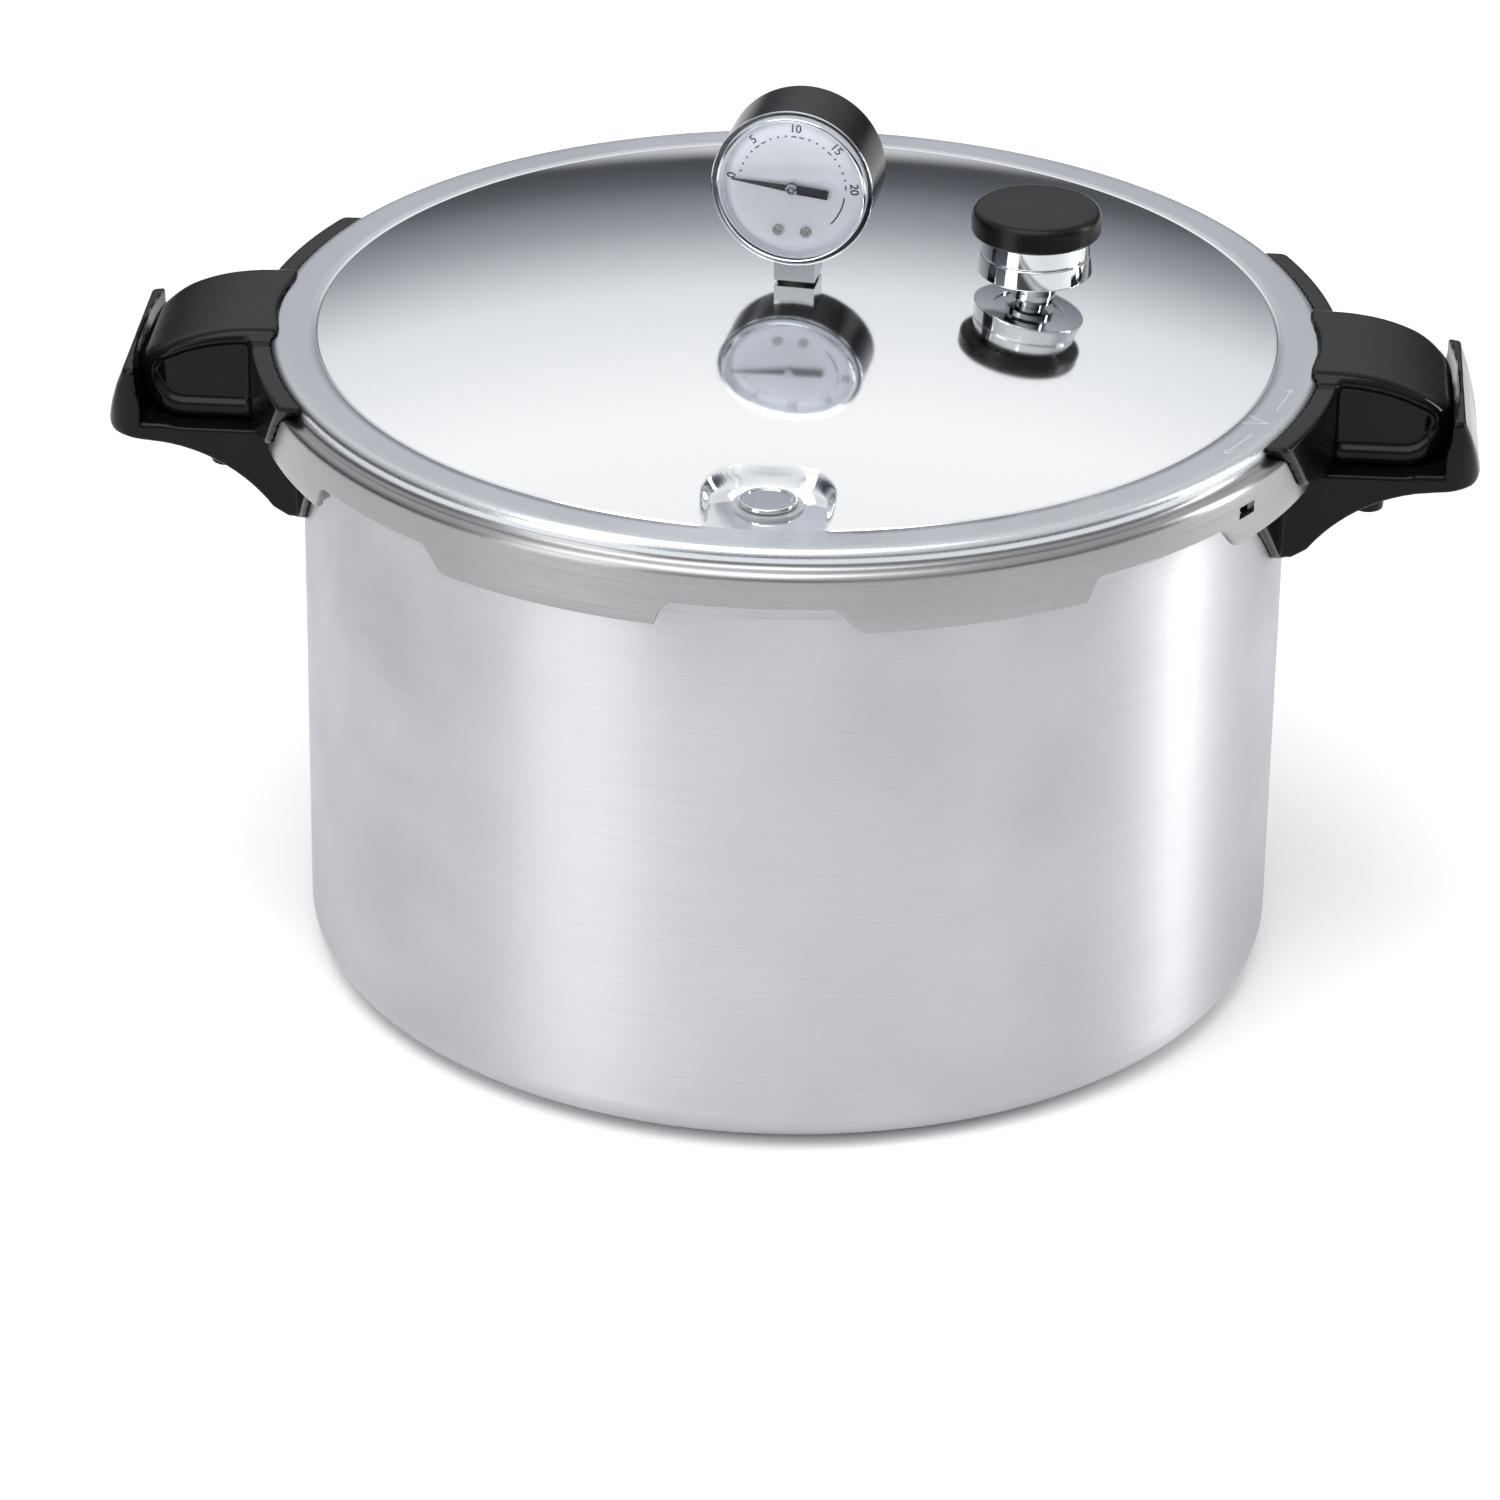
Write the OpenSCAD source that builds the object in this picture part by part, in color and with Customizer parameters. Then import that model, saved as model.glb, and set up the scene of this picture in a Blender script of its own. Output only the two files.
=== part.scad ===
// Stove-top pressure canner with a bayonet lid, dial gauge, weighted regulator and jar rack.
// Origin: centre of the pot's foot.  +Z up, the handles lie along X, the front is -Y.

/* [Pot] */
// Outside radius of the pot wall
pot_r = 157.5; // [125:0.5:200]
// Height of the pot from the foot to the top of the rim
pot_h = 200; // [150:0.5:260]
// Thickness of the pot wall
pot_wall = 2.2; // [1.6:0.1:3]
// Thickness of the pot base
base_t = 3.5; // [2.5:0.1:5]
// Outside radius of the corner between wall and base
corner_r = 11; // [8:0.5:14]
// Width of the thickened rim outside the wall
rim_w = 5.5; // [4.5:0.1:7]
// Depth of the thickened rim below its top face
rim_depth = 10.4; // [9.5:0.1:13]
// How far a bayonet lug stands out from the rim
lug_w = 5.5; // [4.5:0.1:6.5]
// Thickness of a bayonet lug
lug_t = 3.5; // [3:0.1:4.5]
// Number of bayonet lugs
lug_count = 8; // [6:1:10]
// Share of the pitch that a lug of the pot fills
pot_lug_share = 0.42; // [0.36:0.01:0.44]

/* [Lid] */
// Thickness of the lid sheet
lid_t = 2.4; // [1.8:0.1:3]
// Height of the dome at its centre above the flat ring
dome_rise = 16.5; // [14:0.5:26]
// Width of the flat ring from the dome's edge to the rounded edge
ring_w = 11.5; // [9:0.5:14]
// Radius of the rounded edge outside the flat ring
edge_r = 3; // [2.8:0.1:4]
// Step outward from the rounded edge to the skirt
skirt_step = 4.5; // [4:0.1:6]
// How far a lid lug hangs below the skirt edge
lug_drop = 7.8; // [6:0.1:10]
// Share of the pitch that a lug of the lid fills
lid_lug_share = 0.53; // [0.5:0.01:0.55]
// Height of the sealing ring
seal_h = 8.8; // [7:0.1:10]
// Width of the sealing ring
seal_w = 9.6; // [7:0.1:10]

/* [Handles] */
// Width of a lid handle
lid_handle_w = 54; // [44:1:64]
// Width of a body handle
body_handle_w = 68; // [58:1:80]
// Reach of a lid handle beyond the skirt
lid_handle_reach = 37.8; // [30:0.5:48]
// Height of a lid handle above the flat ring
handle_rise = 1.8; // [1:0.1:4]
// Thickness of the outer lip of a body handle
lip_t = 7.6; // [7:0.2:10]
// Depth of a body handle's leg down the pot wall
leg_h = 30.5; // [26:0.5:40]
// Thickness of the handle brackets
bracket_t = 2.4; // [1.8:0.1:3]
// Width of the handle brackets
bracket_w = 24; // [18:1:30]
// Radius of the handle screws
screw_r = 2.4; // [1.8:0.1:3]

/* [Gauge] */
// Radius of the gauge case
case_r = 25.5; // [22:0.5:32]
// Depth of the gauge case
case_d = 24; // [21:0.5:30]
// Thickness of the case wall
case_wall = 1.3; // [1:0.1:2]
// Height of the case above the top of the dome
gauge_clear = 9.5; // [6:0.5:16]
// Turn of the dial face away from the front, about the vertical
gauge_turn = -7.5; // [-45:0.1:45]
// Side of the square stem
stem_w = 13; // [10:0.5:15]
// Module of the movement's teeth
tooth_m = 0.28; // [0.24:0.02:0.32]
// Teeth on the pinion
pinion_n = 10; // [8:1:12]
// Teeth on the whole circle of the sector
sector_n = 50; // [40:1:60]
// Turn of the pointer over the whole scale
pointer_sweep = 225; // [180:5:240]

/* [Regulator] */
// Radius of the vent pipe's place on the dome
vent_r = 75; // [60:1:95]
// Direction of the vent pipe's place
vent_az = 5; // [-30:1:30]
// Radius of the vent pipe
pipe_r = 4.5; // [3.5:0.1:5.5]
// Radius of the steam passage in the vent pipe
pipe_bore_r = 1.7; // [1.2:0.1:2]
// Height of the regulator's underside above the dome
regulator_clear = 6.5; // [5:0.5:12]
// Radius of the weight at its underside
weight_r = 18.2; // [16:0.1:22]
// Height of each weight ring
weight_ring_h = 6.6; // [5:0.1:9]
// Radius of the knob
knob_r = 20.5; // [18:0.5:24]
// Height of the knob
knob_h = 8.4; // [6:0.2:12]

/* [Cover lock] */
// Radius of the cover lock's place on the lid
lock_r = 136.5; // [110:0.5:170]
// Width of the flat pad under the cover lock
pad_w = 35; // [28:1:42]
// Radius of the pin's cap
pin_cap_r = 8.8; // [7:0.1:9.4]
// Radius of the pin's shaft
pin_r = 3.2; // [2.5:0.1:4]
// Travel of the pin when steam lifts it
pin_travel = 6; // [4:0.5:8]
// Length of the pin below the lid
pin_drop = 14; // [12:0.5:18]
// Radius of the cover lock's gasket
gasket_r = 10.8; // [9.8:0.1:12]

/* [Relief plug] */
// Radius of the relief plug's place on the dome
plug_place_r = 65; // [50:1:90]
// Direction of the relief plug's place
plug_az = 93; // [60:1:120]
// Radius of the relief plug's head
plug_r = 8; // [6:0.5:10]

/* [Rack] */
// Gap between the rack's edge and the pot wall
rack_gap = 14; // [8:1:25]
// Height of the rack's turned edge
rack_h = 12; // [8:0.5:18]
// Thickness of the rack sheet
rack_t = 1.5; // [1:0.1:2]
// Radius of the rack's steam holes
rack_hole_r = 6; // [4:0.5:8]

/* [Clearances] */
// Gap between curved faces of pieces that move past each other
face_gap = 0.3; // [0.2:0.05:0.6]
// Radial gap of a shaft that runs in a hole
run_gap = 0.06; // [0.03:0.01:0.1]
// Gap between a screw or bracket and the hole that it sits in
seat_gap = 0.15; // [0.1:0.05:0.3]
// Gap between the lugs of the lid and the lugs of the pot
lug_gap = 0.9; // [0.7:0.1:1.4]
// Gap along the parting line between lid handle and body handle
parting_gap = 0.8; // [0.5:0.1:1.2]

/* [Hidden] */
$fn = 96;

pitch = 360 / lug_count;
// Radii of the bayonet, from the pot wall outward
rim_r = pot_r + rim_w;
lug_r = rim_r + lug_w;
skirt_in_r = lug_r + lug_gap;
skirt_r = skirt_in_r + lid_t;
lip_r = rim_r + lug_gap + 0.7;
pot_in_r = pot_r - pot_wall;
// Heights of the bayonet, from the rim downward and upward
lug_z = pot_h - rim_depth;
lip_z = lug_z - lug_gap;
skirt_z = lip_z - lid_t;
gap_z = skirt_z + lug_drop;
ring_z = pot_h + face_gap + seal_h + lid_t;
// The lid's rounded edge, its neck and its dome
neck_r = skirt_r - skirt_step;
ring_out_r = neck_r - edge_r;
dome_edge_r = ring_out_r - ring_w;
dome_sphere_r = (pow(dome_edge_r, 2) + pow(dome_rise, 2)) / (2 * dome_rise);
dome_centre_z = ring_z + dome_rise - dome_sphere_r;
dome_top_z = ring_z + dome_rise;
neck_z = ring_z - edge_r - 1;
flare_r = skirt_step * 0.4;
shoulder_r = skirt_step - flare_r;
shoulder_z = neck_z - flare_r - shoulder_r;

function arc(x, y, r, a, b, n = 10) = [for (i = [0:n]) [x + r * cos(a + (b - a) * i / n), y + r * sin(a + (b - a) * i / n)]];
function dome_z(r) = dome_centre_z + sqrt(pow(dome_sphere_r, 2) - r * r);

// ---------- pot ----------
inner_corner_r = corner_r - pot_wall;
foot_step = 1.2;
foot_r = pot_r - corner_r + 1.5;

module pot_profile() {
    outside = concat(
        [[0, 0], [foot_r, 0], [foot_r, foot_step]],
        arc(pot_r - corner_r, foot_step + corner_r, corner_r, -78, 0),
        [[pot_r, lug_z - rim_w], [rim_r, lug_z], [rim_r, pot_h], [pot_in_r, pot_h]]
    );
    inside = concat(
        arc(pot_in_r - inner_corner_r, base_t + inner_corner_r, inner_corner_r, 0, -90),
        [[0, base_t]]
    );
    polygon(concat(outside, inside));
}

module lug_ring(share, r1, r2, z, t) {
    width = pitch * share;
    for (k = [0:lug_count - 1])
        rotate([0, 0, pitch * (k + 0.5) - width / 2])
            rotate_extrude(angle = width)
                translate([r1, z]) square([r2 - r1, t]);
}

module pot_body() {
    color([0.78, 0.78, 0.79]) union() {
        rotate_extrude($fn = 180) pot_profile();
        lug_ring(pot_lug_share, rim_r - 0.6, lug_r, lug_z, lug_t);
    }
}

// ---------- cover lock's bracket, inside the rim at the front ----------
strap_w = 26;
strap_t = 1.6;
strap_z = pot_h - 24;
strap_h = 20;
hook_l = 9;
rivet_r = 2;
rivet_head_r = 3.4;
rivet_head_t = 1.2;

module lock_bracket() {
    in_r = pot_in_r - face_gap;
    half = asin(strap_w / 2 / in_r);
    color([0.70, 0.71, 0.72]) difference() {
        union() {
            rotate([0, 0, -90 - half])
                rotate_extrude(angle = 2 * half)
                    translate([in_r - strap_t, strap_z]) square([strap_t, strap_h]);
            rotate([0, 0, -90 - half])
                rotate_extrude(angle = 2 * half)
                    translate([in_r - hook_l, strap_z]) square([hook_l, strap_t]);
        }
        rivet_pair(rivet_r + seat_gap, 1, strap_t + 2);
    }
}

module rivet_pair(r, stand_out, h) {
    for (x = [-strap_w / 3, strap_w / 3])
        translate([x, 0, strap_z + strap_h / 2])
            rotate([90, 0, 0])
                translate([0, 0, sqrt(pow(pot_in_r, 2) - x * x) - strap_t - face_gap - stand_out])
                    cylinder(r = r, h = h);
}

module lock_bracket_rivets() {
    color([0.75, 0.75, 0.76]) intersection() {
        union() {
            rivet_pair(rivet_r, rivet_head_t / 2, strap_t + 1);
            rivet_pair(rivet_head_r, rivet_head_t + 0.6, rivet_head_t);
        }
        cylinder(r = pot_in_r, h = pot_h);
    }
}

// ---------- handles ----------
// The parting surface is turned about the pot's axis, so the lid handle swings over the body handle.
part_z = skirt_z - 3.4;
tip_r = skirt_r + lid_handle_reach;
part_round = 15;
handle_top_z = ring_z + handle_rise;
body_out_r = tip_r + parting_gap + lip_t;
lip_top_z = handle_top_z - 12.2;
leg_z = part_z - leg_h;
screw_x = skirt_r + 12;
tab_end_x = screw_x + 8;
screw_head_t = 2.4;
screw_end = 0.6;
lid_tab_z = shoulder_z - bracket_t - 0.4;
body_tab_z = part_z - 7.4;
boss_r = 5.2;
boss_z = part_z - 27;
body_screw_z = boss_z + 0.4;
body_head_r = screw_r + 1.5;
lid_screw_z = part_z + 1.2;
lid_head_r = screw_r + 2;
lid_wing_t = 1.9;
body_wing_t = 2.4;

module parting(grow) {
    r = part_round + grow;
    polygon(concat(
        [[pot_r - 20, part_z - grow]],
        arc(tip_r - part_round, part_z + part_round, r, -90, 0),
        [[tip_r + grow, handle_top_z + 20], [pot_r - 20, handle_top_z + 20]]
    ));
}

// The outside of the lid filled in to the axis, to seat the handles on
module lid_outline(grow = 0) {
    polygon(concat(
        [[0, skirt_z - 60], [skirt_r + grow, skirt_z - 60]],
        arc(neck_r + flare_r, shoulder_z, shoulder_r + grow, 0, 90),
        arc(neck_r + flare_r, neck_z, flare_r - grow, 270, 180),
        arc(ring_out_r, ring_z - edge_r, edge_r + grow, 0, 90),
        [[0, ring_z + grow]]
    ));
}

module side_extrude(w) {
    translate([0, w / 2, 0]) rotate([90, 0, 0]) linear_extrude(w) children();
}

module plan(in_x, out_x, w, corner) {
    translate([in_x, -w / 2]) square([out_x - corner - in_x, w]);
    translate([in_x, corner - w / 2]) square([out_x - in_x, w - 2 * corner]);
    for (s = [-1, 1])
        translate([out_x - corner, s * (w / 2 - corner)]) circle(r = corner);
}

// A sheet that hugs the wall. Its edge is a list of [half angle, height], from the top down.
module wing(wall_r, inset, t, edge) {
    last = len(edge) - 1;
    reach = edge[0][0] + 4;
    intersection() {
        rotate([0, 0, -reach])
            rotate_extrude(angle = 2 * reach)
                translate([wall_r - inset, edge[last][1]]) square([inset + t, edge[0][1] - edge[last][1]]);
        rotate([90, 0, 90])
            linear_extrude(wall_r + t + 1)
                polygon(concat(
                    [for (p = edge) [wall_r * sin(p[0]), p[1]]],
                    [for (i = [last:-1:0]) [-wall_r * sin(edge[i][0]), edge[i][1]]]
                ));
    }
}

module lid_handle() {
    inner_x = ring_out_r - 1.5;
    crown_r = 120;
    crown_x = inner_x + 2;
    hollow_r = 62.5;
    corner = 14;
    difference() {
        union() {
            intersection() {
                side_extrude(lid_handle_w)
                    intersection() {
                        translate([crown_x, handle_top_z - crown_r]) circle(r = crown_r, $fn = 180);
                        translate([inner_x - 5, part_z]) square([tip_r - inner_x + 5, crown_r]);
                    }
                translate([0, 0, part_z - 5])
                    linear_extrude(handle_top_z - part_z + 10)
                        plan(inner_x, tip_r, lid_handle_w, corner);
                rotate([0, 0, -15]) rotate_extrude(angle = 30) parting(0);
            }
            wing(skirt_r, skirt_step + edge_r, lid_wing_t, [
                [27, ring_z - edge_r / 2], [21.4, part_z + 7.7], [12.7, part_z + 1.1]
            ]);
        }
        rotate_extrude() lid_outline(0.02);
        translate([inner_x + 2.5 - hollow_r, 0, ring_z - 1]) cylinder(r = hollow_r, h = handle_rise + 2);
        bracket_tab(skirt_r, lid_tab_z, seat_gap);
        screw_hole(part_z, lid_screw_z, lid_head_r, lid_tab_z);
    }
}

module bracket_tab(wall_r, z, grow = 0) {
    half = asin(bracket_w / 2 / wall_r);
    rotate([0, 0, -half])
        rotate_extrude(angle = 2 * half)
            translate([wall_r + 0.05, z - 7]) square([bracket_t + grow, 7 + bracket_t]);
    translate([wall_r + bracket_t / 2, -bracket_w / 2 - grow, z - grow])
        cube([tab_end_x + grow - wall_r - bracket_t / 2, bracket_w + 2 * grow, bracket_t + 2 * grow]);
}

module bracket(wall_r, z) {
    color([0.72, 0.72, 0.73]) difference() {
        bracket_tab(wall_r, z);
        translate([screw_x, 0, z - 1]) cylinder(r = screw_r + seat_gap, h = bracket_t + 2);
    }
}

module body_side_profile() {
    // The leg against the wall, the hollow sweep under the grip, and the upright outer lip
    sweep_r = 52;
    grip_z = part_z - 6;
    sweep_x = pot_r + 49;
    corner = 3.5;
    lean = 6.3;
    polygon(concat(
        [[pot_r - 5, part_z], [pot_r - 5, leg_z], [pot_r + 2, leg_z]],
        arc(sweep_x, grip_z - sweep_r, sweep_r, 144, 98, 12),
        arc(body_out_r - corner, grip_z + 1 + corner, corner, -85, 0, 6),
        [
            [body_out_r - lean / 4, lip_top_z - 13.5], [body_out_r - lean * 0.6, lip_top_z - 6.5],
            [body_out_r - lean, lip_top_z], [body_out_r - 12, lip_top_z], [body_out_r - 12, part_z]
        ]
    ));
}

module body_handle() {
    corner = 12;
    difference() {
        union() {
            intersection() {
                side_extrude(body_handle_w) body_side_profile();
                translate([0, 0, leg_z - 5])
                    linear_extrude(lip_top_z - leg_z + 10)
                        plan(pot_r - 8, body_out_r, body_handle_w, corner);
            }
            wing(pot_r, 1, body_wing_t, [[24, part_z - 1.5], [13, leg_z + 0.6]]);
            translate([screw_x, 0, boss_z]) cylinder(r = boss_r, h = part_z - boss_z);
        }
        cylinder(r = pot_r + 0.02, h = pot_h, $fn = 180);
        rotate([0, 0, -30]) rotate_extrude(angle = 60) parting(parting_gap);
        bracket_tab(pot_r, body_tab_z, seat_gap);
        screw_hole(boss_z, body_screw_z, body_head_r, body_tab_z);
    }
}

// The hole for a handle screw, with a wider hole for its head from low_z up
module screw_hole(low_z, head_z, head_r, tab_z) {
    translate([screw_x, 0, low_z - 1]) {
        cylinder(r = screw_r + run_gap, h = tab_z + bracket_t + 2 * screw_end + 1 - low_z);
        cylinder(r = head_r + 0.1, h = head_z + screw_head_t + 1 - low_z);
    }
}

module handle_screw(head_z, head_r, tab_z) {
    slot_l = 3.6;
    slot_w = 0.8;
    for (side = [0, 180])
        rotate([0, 0, side])
            translate([screw_x, 0, head_z]) {
                cylinder(r = screw_r, h = tab_z + bracket_t + screw_end - head_z);
                difference() {
                    cylinder(r = head_r, h = screw_head_t);
                    for (turn = [0, 90])
                        rotate([0, 0, turn]) translate([-slot_l / 2, -slot_w / 2, -0.1]) cube([slot_l, slot_w, 1.1]);
                }
            }
}

module body_bracket_left() { rotate([0, 0, 180]) bracket(pot_r, body_tab_z); }
module body_bracket_right() { bracket(pot_r, body_tab_z); }
module lid_bracket_left() { rotate([0, 0, 180]) bracket(skirt_r, lid_tab_z); }
module lid_bracket_right() { bracket(skirt_r, lid_tab_z); }
module body_handle_left() { color([0.08, 0.08, 0.08]) rotate([0, 0, 180]) body_handle(); }
module body_handle_right() { color([0.08, 0.08, 0.08]) body_handle(); }
module lid_handle_left() { color([0.11, 0.11, 0.11]) rotate([0, 0, 180]) lid_handle(); }
module lid_handle_right() { color([0.11, 0.11, 0.11]) lid_handle(); }
module body_handle_screws() { color([0.6, 0.6, 0.6]) handle_screw(body_screw_z, body_head_r, body_tab_z); }
module lid_handle_screws() { color([0.6, 0.6, 0.6]) handle_screw(lid_screw_z, lid_head_r, lid_tab_z); }

// ---------- lid ----------
slot_az = -33.5;
slot_w = 10;
slot_h = 5.4;
pad_back = 12.5;
pad_corner = 10;

module lid_section() {
    difference() {
        lid_outline();
        polygon(concat(
            [[0, skirt_z - 61], [skirt_in_r, skirt_z - 61]],
            arc(neck_r + flare_r, shoulder_z, max(shoulder_r - lid_t, 0.3), 0, 90),
            arc(neck_r + flare_r, neck_z, flare_r + lid_t, 270, 180),
            arc(ring_out_r, ring_z - edge_r, max(edge_r - lid_t, 0.2), 0, 90),
            [[0, ring_z - lid_t]]
        ));
        translate([0, skirt_z - 62]) square([skirt_r + 5, 62]);
        translate([-1, ring_z - 10]) square([dome_edge_r + 1, 20]);
    }
    translate([lip_r, skirt_z]) square([skirt_in_r - lip_r + 0.5, lid_t]);
    difference() {
        intersection() {
            translate([0, dome_centre_z]) circle(r = dome_sphere_r, $fn = 720);
            translate([0, ring_z - lid_t]) square([dome_edge_r + 0.01, dome_rise + lid_t + 5]);
        }
        translate([0, dome_centre_z]) circle(r = dome_sphere_r - lid_t, $fn = 720);
    }
}

module dome_ball(shrink = 0) {
    translate([0, 0, dome_centre_z]) sphere(r = dome_sphere_r - shrink, $fn = 360);
}

module pad_plan(grow) {
    translate([0, -lock_r]) {
        w = pad_w + 2 * grow;
        front = dome_edge_r - lock_r + 3;
        back = pad_back + grow;
        c = pad_corner + grow;
        translate([-w / 2, -front]) square([w, front + back - c]);
        translate([c - w / 2, 0]) square([w - 2 * c, back]);
        for (s = [-1, 1]) translate([s * (w / 2 - c), back - c]) circle(r = c);
    }
}

module lug_gaps() {
    width = pitch * (1 - lid_lug_share);
    for (k = [0:lug_count - 1])
        rotate([0, 0, pitch * k - width / 2])
            rotate_extrude(angle = width)
                translate([lip_r - 2, skirt_z - 1]) square([skirt_r - lip_r + 4, lug_drop + 1]);
}

module lid() {
    vent_hole = pipe_r - 0.5 + seat_gap;
    color([0.80, 0.81, 0.83]) difference() {
        union() {
            rotate_extrude($fn = 180) lid_section();
            intersection() {
                translate([0, 0, ring_z - lid_t]) linear_extrude(dome_rise + 4) pad_plan(lid_t);
                dome_ball(0.4);
                cylinder(r = dome_edge_r + 2, h = pot_h * 2);
            }
        }
        lug_gaps();
        translate([0, 0, ring_z])
            linear_extrude(dome_rise + 10) pad_plan(0);
        rotate([0, 0, slot_az])
            translate([skirt_in_r - 2, -slot_w / 2, gap_z - 0.5]) cube([8, slot_w, slot_h]);
        translate([0, -lock_r, ring_z - 8]) cylinder(r = pin_r + 3, h = 12);
        rotate([0, 0, vent_az]) translate([vent_r, 0, ring_z - 5]) cylinder(r = vent_hole, h = dome_rise + 10);
        rotate([0, 0, plug_az]) translate([plug_place_r, 0, ring_z - 5]) cylinder(r = plug_r - 2, h = dome_rise + 10);
        translate([0, 0, ring_z - 5]) cylinder(r = stem_thread_r + seat_gap, h = dome_rise + 10);
    }
}

module sealing_ring() {
    out_r = neck_r - lid_t - 0.5;
    in_r = out_r - seal_w;
    low = pot_h + face_gap;
    high = ring_z - lid_t;
    color([0.09, 0.09, 0.09])
        rotate_extrude($fn = 180)
            polygon([
                [in_r, low], [out_r, low], [out_r, neck_z],
                [ring_out_r - 0.5, high], [in_r, high]
            ]);
}

// ---------- vent pipe and regulator ----------
vent_dome_z = dome_z(vent_r);
weight_z = vent_dome_z + regulator_clear;
pipe_top_z = weight_z + weight_ring_h;
core_r = weight_r * 0.62;
taper = weight_r * 0.045;
knob_z = weight_z + 2 * weight_ring_h;

module at_vent() { rotate([0, 0, vent_az]) translate([vent_r, 0, 0]) rotate([0, 0, -vent_az]) children(); }

module vent_pipe() {
    color([0.75, 0.76, 0.77]) difference() {
        union() {
            difference() {
                at_vent() translate([0, 0, vent_dome_z - 2]) cylinder(r = pipe_r + 2.4, h = 4.6);
                dome_ball();
            }
            at_vent() {
                translate([0, 0, vent_dome_z - 9]) cylinder(r = pipe_r - 0.5, h = 11);
                translate([0, 0, vent_dome_z + 2]) cylinder(r = pipe_r, h = pipe_top_z - vent_dome_z - 4);
                translate([0, 0, pipe_top_z - 2.01]) cylinder(r1 = pipe_r, r2 = pipe_r - 1.6, h = 2.01);
            }
        }
        at_vent() translate([0, 0, vent_dome_z - 10]) cylinder(r = pipe_bore_r, h = pipe_top_z - vent_dome_z + 12);
    }
}

module vent_pipe_nut() {
    color([0.7, 0.71, 0.72]) difference() {
        at_vent() translate([0, 0, vent_dome_z - 7.5]) cylinder(r = pipe_r + 3.6, h = 5, $fn = 6);
        at_vent() translate([0, 0, vent_dome_z - 10]) cylinder(r = pipe_r - 0.5 + run_gap, h = 14);
        difference() {
            dome_ball(-1);
            dome_ball(lid_t + 0.05);
        }
    }
}

module regulator_core() {
    // Turned weight that caps the vent pipe, with a seat for each ring and a post for the knob
    color([0.82, 0.83, 0.84]) at_vent() difference() {
        union() {
            translate([0, 0, weight_z + 0.8]) cylinder(r = core_r, h = 2 * weight_ring_h - 0.8);
            translate([0, 0, weight_z - 1.2]) cylinder(r = core_r * 0.72, h = 3);
            translate([0, 0, knob_z - 0.01]) cylinder(r = 3, h = 4);
        }
        translate([0, 0, weight_z - 2]) cylinder(r = pipe_r + face_gap, h = pipe_top_z - weight_z);
        translate([0, 0, pipe_top_z - 2.01]) cylinder(r1 = pipe_r + face_gap, r2 = pipe_r - 1.6 + face_gap, h = 2.01 + face_gap);
    }
}

module weight_ring(z, r1, r2) {
    color([0.83, 0.84, 0.85]) at_vent() difference() {
        union() {
            translate([0, 0, z]) cylinder(r1 = r1, r2 = r2, h = weight_ring_h - 0.6);
            translate([0, 0, z + weight_ring_h - 0.61]) cylinder(r1 = r2, r2 = r2 - 0.5, h = 0.6);
        }
        translate([0, 0, z - 1]) cylinder(r = core_r + run_gap, h = weight_ring_h + 2);
        translate([0, 0, z - 0.01]) difference() {
            cylinder(r = weight_r * 0.86, h = 0.7);
            translate([0, 0, -1]) cylinder(r = weight_r * 0.8, h = 3);
        }
    }
}

module regulator_ring_lower() { weight_ring(weight_z, weight_r, weight_r - taper); }
module regulator_ring_upper() { weight_ring(weight_z + weight_ring_h, weight_r - taper, weight_r - 2 * taper); }

module regulator_knob() {
    round = 2.6;
    color([0.09, 0.09, 0.09]) at_vent() translate([0, 0, knob_z]) difference() {
        rotate_extrude()
            polygon(concat(
                [[0, 0], [knob_r - 1.2, 0]],
                arc(knob_r - 1.2, 1.2, 1.2, -90, 0, 4),
                arc(knob_r - round, knob_h - round - 0.4, round, 0, 85, 8),
                [[0, knob_h]]
            ));
        translate([0, 0, -0.1]) cylinder(r = 3 + run_gap, h = 4.3);
    }
}

// ---------- cover lock ----------
gasket_h = 0.8;
cap_z = ring_z + gasket_h + face_gap;
cap_h = 1.6;
cup_z = ring_z - pin_drop;
cup_h = 4.4;

module cover_lock_gasket() {
    color([0.2, 0.2, 0.2]) translate([0, -lock_r, 0]) difference() {
        union() {
            translate([0, 0, ring_z]) cylinder(r = gasket_r, h = gasket_h);
            translate([0, 0, ring_z - lid_t - 1.2]) cylinder(r = pin_r + 2.9, h = lid_t + 1.3);
        }
        translate([0, 0, ring_z - 8]) cylinder(r = pin_r + face_gap + 0.3, h = 12);
    }
}

module cover_lock_pin() {
    color([0.8, 0.81, 0.82]) translate([0, -lock_r, 0]) difference() {
        union() {
            translate([0, 0, cap_z]) cylinder(r = pin_cap_r, h = cap_h - 0.6);
            translate([0, 0, cap_z + cap_h - 0.61]) cylinder(r1 = pin_cap_r, r2 = pin_cap_r - 0.8, h = 0.6);
            translate([0, 0, cup_z]) cylinder(r = pin_r, h = cap_z - cup_z + 0.1);
        }
        translate([0, 0, cap_z + cap_h - 0.5]) cylinder(r = pin_cap_r - 1.6, h = 2);
    }
}

module cover_lock_cup() {
    color([0.7, 0.71, 0.72]) translate([0, -lock_r, cup_z]) difference() {
        cylinder(r = pin_r + 2.2, h = cup_h);
        translate([0, 0, -1]) cylinder(r = pin_r + 0.02, h = cup_h + 2);
    }
}

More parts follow.
